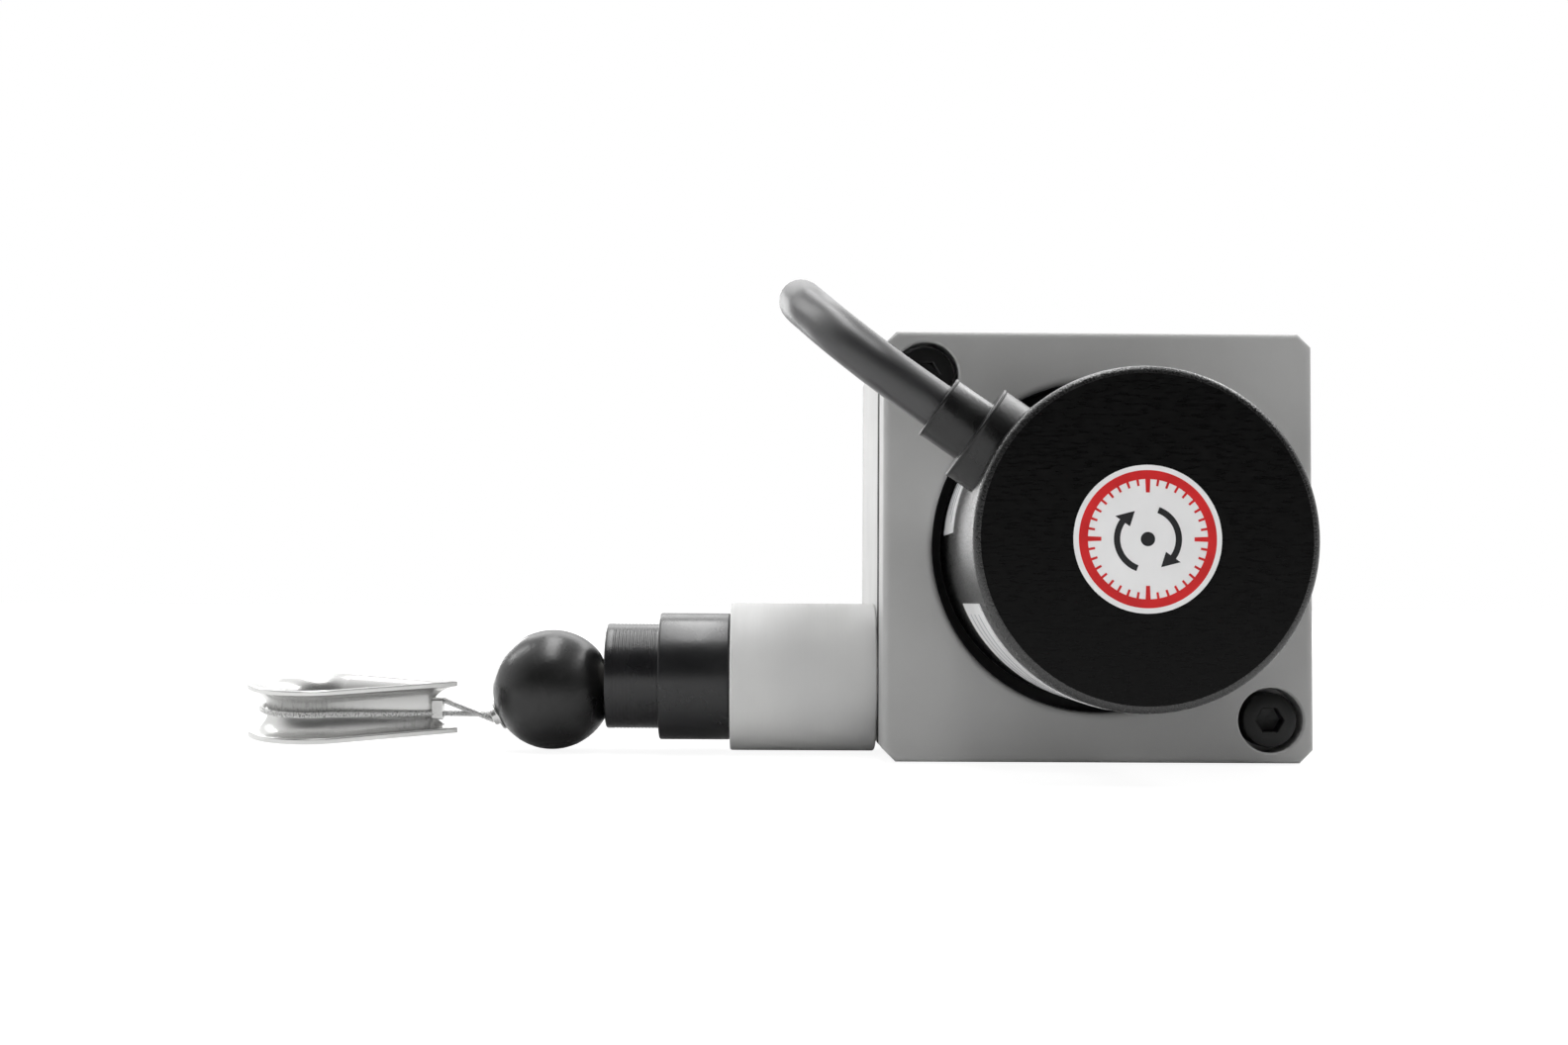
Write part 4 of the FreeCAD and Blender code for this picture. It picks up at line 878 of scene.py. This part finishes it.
def face_sticker():
    """A white disc with a plain dial: a ring of ticks and two turning arrows."""
    outer = [(0, STICKER_Y), (STICKER_RADIUS, STICKER_Y), (STICKER_RADIUS, CAN_FRONT_Y)]
    rows = rounded(outer, (CAN_FRONT_Y - STICKER_Y) / 2)
    turned_piece(
        "sticker_form", rows, AXIS, ALONG_Y, ALONG_X, ROUND_STEPS, "label_white", ("face_sticker",))
    film = -ALONG_Y * FILM
    red = Solid()
    for start in (0, 180):
        red.slab(ring_sector(DIAL_INNER, DIAL_OUTER, start, start + 180, DIAL_STEPS), film)
    for tick in range(360 // TICK_STEP):
        inner, width = SHORT_TICK if tick % LONG_TICK_EVERY else LONG_TICK
        angle = tick * TICK_STEP
        red.slab(ring_sector(inner, DIAL_INNER, angle - width, angle + width, 2), film)
    piece("sticker_print_red", red, "housing", "label_white", material=PRINT_RED)
    black = Solid()
    for start in ARROW_STARTS:
        end = start + ARROW_SWEEP
        black.slab(ring_sector(ARROW_INNER, ARROW_OUTER, start, end, 24), film)
        head = [(ARROW_HEAD_INNER, end), (ARROW_HEAD_OUTER, end), (ARROW_TIP, end + ARROW_HEAD_SWEEP)]
        black.slab([on_dial(radius, math.radians(angle)) for radius, angle in head], film)
    black.slab(ring_sector(0.0, DOT_RADIUS, 0, DOT_SWEEP, DOT_STEPS)[:DOT_STEPS + 1], film)
    piece("sticker_print_black", black, "housing", "label_white", material=PRINT_BLACK)


def wrap_patch(solid, radius, thickness, angles, depths):
    """A thin patch on the can between two angles, counted from +X towards +Z, and two depths."""
    first = len(solid.points)
    for far in (radius, radius + thickness):
        for y in depths:
            for column in range(LABEL_COLUMNS + 1):
                angle = math.radians(angles[0] + (angles[1] - angles[0]) * column / LABEL_COLUMNS)
                solid.points.append(AXIS + Vector((far * math.cos(angle), y, far * math.sin(angle))))
    count = LABEL_COLUMNS + 1
    solid.faces += grid_faces(2, count, first, close_columns=False)
    solid.faces += grid_faces(2, count, first + 2 * count, close_columns=False)
    for side in (0, count):
        for column in range(LABEL_COLUMNS):
            low = first + side + column
            solid.faces.append((low, low + 1, low + 1 + 2 * count, low + 2 * count))
    for end in (0, LABEL_COLUMNS):
        low = first + end
        solid.faces.append((low, low + count, low + 3 * count, low + 2 * count))


def can_labels():
    """Two white labels with plain rules."""
    for node, (angles, depths) in LABEL_PLACES.items():
        patch = Solid()
        wrap_patch(patch, CAN_RADIUS, LABEL_FILM, angles, depths)
        piece(node + "_form", patch, "housing", "label_white", (node,))
        rules = Solid()
        height = depths[1] - depths[0]
        for line in range(RULES):
            y = depths[0] + height * (RULE_FIRST + RULE_STEP * line)
            sweep = (angles[0] + RULE_MARGIN, angles[1] - RULE_MARGIN - RULE_SHORTER * line)
            wrap_patch(rules, CAN_RADIUS + LABEL_FILM, RULE_FILM, sweep, (y, y + RULE_WIDTH))
        piece(node + "_rules", rules, "housing", "label_white", material=PRINT_GREY)


def cable_grommet():
    """Rubber grommet: its collar's foot follows the can."""
    def foot(radius):
        def height(angle):
            return math.sqrt(CAN_RADIUS ** 2 - (radius * math.sin(angle)) ** 2) - GROMMET_SINK
        return height

    def beaded(radius, top):
        crest = top - GROMMET_BEAD_STEP
        return [(radius, crest - GROMMET_BEAD_STEP), (radius + GROMMET_BEAD, crest), (radius, top)]

    bore = CABLE_RADIUS - FILM
    rows = [(bore, foot(bore)), (COLLAR_RADIUS, foot(COLLAR_RADIUS))]
    top = [(COLLAR_RADIUS, COLLAR_SIDE)] + beaded(COLLAR_RADIUS, COLLAR_TOP)
    top += [(SLEEVE_RADIUS, COLLAR_TOP)] + beaded(SLEEVE_RADIUS, SLEEVE_TOP)
    top += [(bore, SLEEVE_TOP), (bore, COLLAR_SIDE)]
    rows += rounded(top, GROMMET_ROUND, 3)
    turned_piece(
        "grommet_form", rows, GROMMET_CENTRE, GROMMET_AXIS, ALONG_Y, ROUND_STEPS, "grommet_rubber",
        ("cable_grommet",), closed=True)


# Signal cable

def smooth(value):
    value = min(max(value, 0.0), 1.0)
    return value * value * (3 - 2 * value)


def coil_point(swept):
    """A point of the coil: two turns on top of two, each crossing to the next beside the one before."""
    crossed = []
    for turn in range(3):
        end = turn * 360 + CROSS_END + 180 - (CROSS_STAGGER * turn)
        crossed.append(smooth((swept - end + CROSS_SPAN) / CROSS_SPAN))
    inward, down, outward = crossed
    radius = COIL_OUTER_TURN + (COIL_INNER_TURN - COIL_OUTER_TURN) * (inward - outward)
    height = COIL_BASE_Z + CABLE_RADIUS + 2 * CABLE_RADIUS * (1 - down)
    angle = math.radians(COIL_START - swept)
    x = COIL_CENTRE.x + radius * math.cos(angle)
    y = COIL_CENTRE.y + radius * math.sin(angle)
    return Vector((x, y, height))


def signal_cable():
    start = GROMMET_CENTRE + GROMMET_AXIS * SLEEVE_TOP
    points = [start, start + GROMMET_AXIS * CABLE_FIRST_RUN]
    points += [Vector(point) for point in CABLE_POINTS]
    points += [coil_point(swept) for swept in range(COIL_STEP, COIL_SWEEP + 1, COIL_STEP)]
    tail = math.radians(TAIL_ANGLE)
    leaving = Vector((math.sin(tail), -math.cos(tail), 0))
    points += [points[-1] + leaving * TAIL_LENGTH * share for share in (0.4, 1.0)]
    data = bpy.data.curves.new("signal_cable_form", "CURVE")
    data.dimensions = "3D"
    data.bevel_depth = CABLE_RADIUS
    data.bevel_resolution = 10
    data.resolution_u = 10
    data.use_fill_caps = True
    spline = data.splines.new("NURBS")
    spline.points.add(len(points) - 1)
    for place, point in zip(spline.points, points):
        place.co = (*point, 1)
    spline.order_u = 3
    spline.use_endpoint_u = True
    data.materials.append(FINISHES["cable_jacket"].material)
    cable = show("signal_cable_form", data)
    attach(cable, "housing")
    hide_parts("signal_cable", "cable_coil", "cable_tail")
    leads = cable_leads(points[-1], leaving)
    tie = cable_tie()


def cable_leads(end, along):
    """Five coloured leads with bared copper ends, fanned a little where the jacket stops."""
    across = along.cross(ALONG_Z)
    tips = Solid()
    leads = []
    for index, material in enumerate(LEAD_FINISHES):
        angle = math.radians(90 + 72 * index)
        out = across * math.cos(angle) + ALONG_Z * math.sin(angle)
        path = []
        for step in range(LEAD_STEPS + 1):
            share = step / LEAD_STEPS
            run = LEAD_LENGTH * share - LEAD_ROOT * (1 - share)
            path.append(end + along * run + out * (LEAD_SPREAD + LEAD_FAN * smooth(share)))
        lead = Solid()
        lead.tube(path, LEAD_RADIUS, 16)
        name = "lead_%d" % (index + 1)
        leads.append(piece(name, lead, "housing", "lead_colours", material=material))
        tips.tube([path[-1] - along * TIP_OVERLAP, path[-1] + along * TIP_LENGTH], TIP_RADIUS, 12)
    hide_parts("cable_leads")
    leads.append(piece("lead_tips", tips, "housing", "lead_colours", material=COPPER))
    return leads


def tie_ring(half):
    """A square ring with round corners, as (outward, up) pairs."""
    ring = []
    for step in range(TIE_STEPS):
        turn = 2 * math.pi * step / TIE_STEPS
        wide = math.copysign(abs(math.cos(turn)) ** TIE_SQUARENESS, math.cos(turn))
        tall = math.copysign(abs(math.sin(turn)) ** TIE_SQUARENESS, math.sin(turn))
        ring.append((half * wide, half * tall))
    return ring


def cable_tie():
    """A strap round the coil's four turns, with its locking head on top."""
    angle = math.radians(TIE_ANGLE)
    outward = Vector((math.cos(angle), math.sin(angle), 0))
    side = Vector((-math.sin(angle), math.cos(angle), 0))
    centre = COIL_CENTRE + outward * (COIL_INNER_TURN + COIL_OUTER_TURN) / 2
    strap = Solid()
    for half in (TIE_HALF_WIDTH, -TIE_HALF_WIDTH):
        for size in (TIE_INNER, TIE_OUTER):
            strap.points += [centre + outward * x + ALONG_Z * z + side * half for x, z in tie_ring(size)]
    inner_a, outer_a, inner_b, outer_b = [TIE_STEPS * ring for ring in range(4)]
    for step in range(TIE_STEPS):
        after = (step + 1) % TIE_STEPS
        sides = ((inner_a, outer_a), (outer_a, outer_b), (outer_b, inner_b), (inner_b, inner_a))
        for first, second in sides:
            strap.faces.append((first + step, first + after, second + after, second + step))
    corners = [(1, 1), (-1, 1), (-1, -1), (1, -1)]
    foot = centre + ALONG_Z * TIE_OUTER
    head = [foot + outward * x * TIE_HEAD + side * z * TIE_HEAD for x, z in corners]
    strap.slab(head, ALONG_Z * TIE_HEAD)
    return piece("tie_form", strap, "housing", "tie_plastic", ("cable_tie",))


# Wire outlet

def outlet_stage(node, root, end, slot, fillet):
    """A turned stage of the outlet between two places along X."""
    radius = half_size(node).z
    corners = [(WIRE_WAY, root), (WIRE_WAY, end), (radius, end), (radius, root), (WIRE_WAY, root)]
    rows = rounded(corners, fillet)
    turned_piece(node + "_form", rows, OUTLET, ALONG_X, ALONG_Z, ROUND_STEPS, slot, (node,))


def outlet_nozzle(root, end):
    """The last stage: a sunk mouth, and fine ripples round its outside."""
    radius = half_size("outlet_nozzle").z
    sunk = end + NOZZLE_SINK
    corners = [
        (WIRE_WAY, root), (NOZZLE_BORE, sunk), (NOZZLE_MOUTH - NOZZLE_SINK, sunk),
        (NOZZLE_MOUTH, end), (radius, end), (radius, end + NOZZLE_LIP),
    ]
    rows = rounded(corners, NOZZLE_FILLET)
    pitch = (root - end - NOZZLE_PLAIN) / RIPPLES
    for ripple in range(RIPPLES):
        start = end + NOZZLE_LIP + ripple * pitch
        for step in range(RIPPLE_STEPS):
            share = step / RIPPLE_STEPS
            hollow = RIPPLE_DEPTH * (1 - math.cos(2 * math.pi * share)) / 2
            rows.append((radius - hollow, start + share * pitch))
    rows += [(radius, root), (WIRE_WAY, root)]
    turned_piece(
        "outlet_nozzle_form", rows, OUTLET, ALONG_X, ALONG_Z, ROUND_STEPS, "outlet_plastic",
        ("outlet_nozzle",))


def wire_outlet():
    cylinder_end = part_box("outlet_cylinder")[0].x
    bush_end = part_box("outlet_bush")[0].x
    outlet_stage("outlet_cylinder", -HALF_WIDTH, cylinder_end, "natural_aluminium", CYLINDER_FILLET)
    outlet_stage("outlet_bush", cylinder_end, bush_end, "outlet_plastic", BUSH_FILLET)
    outlet_nozzle(bush_end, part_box("outlet_nozzle")[0].x)


# Wire end

def rope_piece(name, path, body, node):
    """Strands twisted round a core along a line of points."""
    solid = Solid()
    strand = WIRE_RADIUS / 3
    solid.tube(path, strand)
    walked = 0.0
    before = path[0]
    strands = [[] for index in range(ROPE_STRANDS)]
    for point, side, third in path_frames(path):
        walked += (point - before).length
        before = point
        for number, line in enumerate(strands):
            angle = 2 * math.pi * (walked / ROPE_LAY + number / ROPE_STRANDS)
            line.append(point + (side * math.cos(angle) + third * math.sin(angle)) * 2 * strand)
    for line in strands:
        solid.tube(line, strand)
    return piece(name, solid, body, "wire_rope", (node,), sharp=80.0)


def straight_path(start, end):
    count = max(2, round((end - start).length / ROPE_STEP))
    return [start.lerp(end, index / count) for index in range(count + 1)]


def ball_pole(side, beyond=0.0):
    return BALL_CENTRE + BALL_AXIS * side * (BALL_HALF + beyond)


def in_thimble(x, y, z):
    """A point given in the eye's own frame, tip along +X, moved to its place."""
    tilt = math.radians(THIMBLE_TILT)
    across = y * math.cos(tilt) - z * math.sin(tilt)
    return THIMBLE_CENTRE + Vector((x, across, y * math.sin(tilt) + z * math.cos(tilt)))


def wires():
    """The wire: a straight run from the drum to the nozzle, and beyond it the part that rides on the end."""
    run_low, run_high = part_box("wire_run")
    inner_end = Vector((run_high.x, OUTLET.y, OUTLET.z))
    outer_end = Vector((run_low.x, OUTLET.y, OUTLET.z))
    stretched = rope_piece("wire_run_form", straight_path(inner_end, outer_end), None, "wire_run")
    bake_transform(stretched)
    bend = ball_pole(1, -BALL_SINK_DEPTH)
    path = straight_path(outer_end, bend) + straight_path(bend, ball_pole(-1, FERRULE_LENGTH))[1:]
    rope_piece("wire_stem_form", path, "wire_end", "wire_stem")
    ends = []
    for side in (1, -1):
        across = side * LOOP_RADIUS * math.sin(LOOP_FROM)
        tangent = in_thimble(LOOP_RADIUS * math.cos(LOOP_FROM), across, 0)
        tip = in_thimble(LOOP_TIP, 0, side * LOOP_TIP_HALF)
        end = ball_pole(-1, FERRULE_LENGTH) + BALL_UP * side * LOOP_END_HALF
        ends.append(straight_path(end, tip)[:-1] + straight_path(tip, tangent)[:-1])
    arc = []
    for step in range(LOOP_STEPS + 1):
        angle = LOOP_FROM + (2 * math.pi - 2 * LOOP_FROM) * step / LOOP_STEPS
        arc.append(in_thimble(LOOP_RADIUS * math.cos(angle), LOOP_RADIUS * math.sin(angle), 0))
    rope_piece("wire_loop_form", ends[0] + arc + ends[1][::-1], "wire_end", "wire_loop")


def ball_stop():
    """A moulded rubber ball, flat at both poles, with a faint parting line and a hole for the wire."""
    rows = [(BALL_HOLE, -BALL_HALF), (BALL_HOLE + BALL_HOLE_ROUND, -BALL_HALF)]
    flat_angle = math.acos(BALL_HALF / BALL_RADIUS)
    for step in range(BALL_STEPS + 1):
        angle = flat_angle + (math.pi - 2 * flat_angle) * step / BALL_STEPS
        bulge = PARTING_HEIGHT * math.exp(-((angle - math.pi / 2) / PARTING_WIDTH) ** 2)
        rows.append(((BALL_RADIUS + bulge) * math.sin(angle), -BALL_RADIUS * math.cos(angle)))
    rows += [(BALL_SINK_RADIUS, BALL_HALF), (BALL_HOLE, BALL_HALF - BALL_SINK_DEPTH)]
    turned_piece(
        "ball_form", rows, BALL_CENTRE, BALL_AXIS, ALONG_Y, BALL_ROUND_STEPS, "grommet_rubber",
        ("ball_stop",), body="wire_end", closed=True)


def end_ferrule():
    bore = WIRE_RADIUS + FERRULE_PLAY
    corners = [
        (bore, 0), (FERRULE_FLANGE_RADIUS, 0), (FERRULE_FLANGE_RADIUS, FERRULE_FLANGE),
        (FERRULE_RADIUS, FERRULE_FLANGE), (FERRULE_RADIUS, FERRULE_LENGTH), (bore, FERRULE_LENGTH),
    ]
    rows = rounded(corners, FERRULE_ROUND)
    turned_piece(
        "ferrule_form", rows, ball_pole(-1), -BALL_AXIS, ALONG_Y, 96, "stainless", ("end_ferrule",),
        body="wire_end", closed=True)


def thimble_section():
    """The channel's section as (radius, height) points: its eye side, a rim, its groove, the other rim."""
    def arc(low_radius, half):
        chord = THIMBLE_RIM_RADIUS - low_radius
        radius = (chord ** 2 + half ** 2) / (2 * chord)
        reach = math.asin(half / radius)
        angles = [-reach + 2 * reach * step / SECTION_STEPS for step in range(SECTION_STEPS + 1)]
        return [(low_radius + radius - radius * math.cos(a), radius * math.sin(a)) for a in angles]
    outer = arc(THIMBLE_EYE_RADIUS, THIMBLE_HALF_WIDTH)
    groove = arc(THIMBLE_GROOVE_RADIUS, THIMBLE_HALF_WIDTH - THIMBLE_RIM)
    return rounded(outer + groove[::-1] + outer[:1], THIMBLE_ROUND, 3)[:-1]


def thimble():
    lines = []
    shallower = (THIMBLE_TIP - WEB_TIP) / (THIMBLE_RIM_RADIUS - THIMBLE_GROOVE_RADIUS)
    for radius, z in thimble_section():
        tip = THIMBLE_TIP - (THIMBLE_RIM_RADIUS - radius) * shallower
        start = math.acos(radius / tip)
        line = [(tip, 0)]
        for step in range(THIMBLE_STEPS + 1):
            angle = start + (2 * math.pi - 2 * start) * step / THIMBLE_STEPS
            line.append((radius * math.cos(angle), radius * math.sin(angle)))
        lines.append([in_thimble(x, y, z) for x, y in line])
    solid = Solid()
    for line in lines:
        solid.points += line
    solid.faces += grid_faces(len(lines), len(lines[0]), close_rows=True)
    piece("thimble_form", solid, "wire_end", "stainless", ("thimble",))


# Light, floor and camera

def camera():
    data = bpy.data.cameras.new("camera")
    data.sensor_width = SENSOR
    data.lens = FOCAL_PIXELS / IMAGE_WIDTH * SENSOR
    data.clip_start = 0.01
    data.clip_end = 20.0
    made = show("camera", data)
    made.location = CAMERA_PLACE
    angles = (90 + CAMERA_PITCH, CAMERA_ROLL, CAMERA_YAW)
    made.rotation_euler = [math.radians(angle) for angle in angles]
    bpy.context.scene.camera = made


def softbox(name, place, aim, size, watts):
    data = bpy.data.lights.new(name, "AREA")
    data.shape = "RECTANGLE"
    data.size = size[0]
    data.size_y = size[1]
    data.energy = watts
    made = show(name, data)
    made.location = place
    made.rotation_euler = (Vector(aim) - Vector(place)).to_track_quat("-Z", "Y").to_euler()
    made.visible_camera = False
    return made


def ray_kind(tree, *names):
    """1 for rays of the named kinds."""
    path = tree.nodes.new("ShaderNodeLightPath")
    total = path.outputs[names[0]]
    for name in names[1:]:
        larger = tree.nodes.new("ShaderNodeMath")
        larger.operation = "MAXIMUM"
        tree.links.new(total, larger.inputs[0])
        tree.links.new(path.outputs[name], larger.inputs[1])
        total = larger.outputs[0]
    return total


def studio():
    """A white backdrop for the camera, which shiny faces see too, with a dim room on the viewer's side."""
    world = bpy.data.worlds.new("studio")
    bpy.context.scene.world = world
    world.use_nodes = True
    tree = world.node_tree
    link = tree.links.new
    soft = tree.nodes["Background"]
    white = tree.nodes.new("ShaderNodeBackground")
    mirrored = tree.nodes.new("ShaderNodeBackground")
    for background in (soft, white, mirrored):
        background.inputs["Color"].default_value = (1, 1, 1, 1)
    soft.inputs["Strength"].default_value = SKY_LEVEL
    split = tree.nodes.new("ShaderNodeSeparateXYZ")
    link(tree.nodes.new("ShaderNodeTexCoord").outputs["Generated"], split.inputs["Vector"])
    depth = ramp(tree, split.outputs["Y"], ROOM_START, ROOM_END, ROOM_LEVEL, 1.0)
    depth.interpolation_type = "SMOOTHSTEP"
    link(depth.outputs["Result"], mirrored.inputs["Strength"])
    behind = tree.nodes.new("ShaderNodeMixShader")
    link(ray_kind(tree, "Is Glossy Ray", "Is Transmission Ray"), behind.inputs["Fac"])
    link(soft.outputs["Background"], behind.inputs[1])
    link(mirrored.outputs["Background"], behind.inputs[2])
    seen = tree.nodes.new("ShaderNodeMixShader")
    link(ray_kind(tree, "Is Camera Ray"), seen.inputs["Fac"])
    link(behind.outputs["Shader"], seen.inputs[1])
    link(white.outputs["Background"], seen.inputs[2])
    link(seen.outputs["Shader"], tree.nodes["World Output"].inputs["Surface"])
    for lamp in LAMPS:
        softbox(*lamp)
    fill = softbox(*FILL_LAMP)
    fill.visible_glossy = False


def floor():
    mesh = bpy.data.meshes.new("floor")
    corners = [(-1, -1), (1, -1), (1, 1), (-1, 1)]
    points = [(x * FLOOR_REACH, y * FLOOR_REACH, cad_low.z - FLOOR_GAP) for x, y in corners]
    mesh.from_pydata(points, [], [(0, 1, 2, 3)])
    material = bpy.data.materials.new("floor")
    material.use_nodes = True
    tree = material.node_tree
    link = tree.links.new
    shader = tree.nodes["Principled BSDF"]
    seen = ray_kind(tree, "Is Camera Ray")
    tone = ramp(tree, seen, 0.0, 1.0, FLOOR_WHITE, FLOOR_SEEN)
    link(tone.outputs["Result"], shader.inputs["Base Color"])
    shader.inputs["Roughness"].default_value = 0.9
    shader.inputs["Specular IOR Level"].default_value = 0.0
    glow = tree.nodes.new("ShaderNodeEmission")
    away = tree.nodes.new("ShaderNodeVectorMath")
    away.operation = "LENGTH"
    link(tree.nodes.new("ShaderNodeTexCoord").outputs["Object"], away.inputs[0])
    level = ramp(tree, away.outputs["Value"], GLOW_NEAR, GLOW_FAR, FLOOR_GLOW, 1.0)
    lit = tree.nodes.new("ShaderNodeMath")
    lit.operation = "MULTIPLY"
    link(level.outputs["Result"], lit.inputs[1])
    link(seen, lit.inputs[0])
    link(lit.outputs[0], glow.inputs["Strength"])
    both = tree.nodes.new("ShaderNodeAddShader")
    link(shader.outputs["BSDF"], both.inputs[0])
    link(glow.outputs["Emission"], both.inputs[1])
    link(both.outputs["Shader"], tree.nodes["Material Output"].inputs["Surface"])
    mesh.materials.append(material)
    made = show("floor", mesh)


camera()
studio()
floor()
dress_nodes()
front_plate()
painted_seam_shadow()
pocket_painted_shade()
rear_cover()
plate_screws()
cover_screws()
encoder_can()
face_sticker()
can_labels()
cable_grommet()
signal_cable()
wire_outlet()
wires()
ball_stop()
end_ferrule()
thimble()
bpy.context.scene.view_settings.view_transform = "Standard"
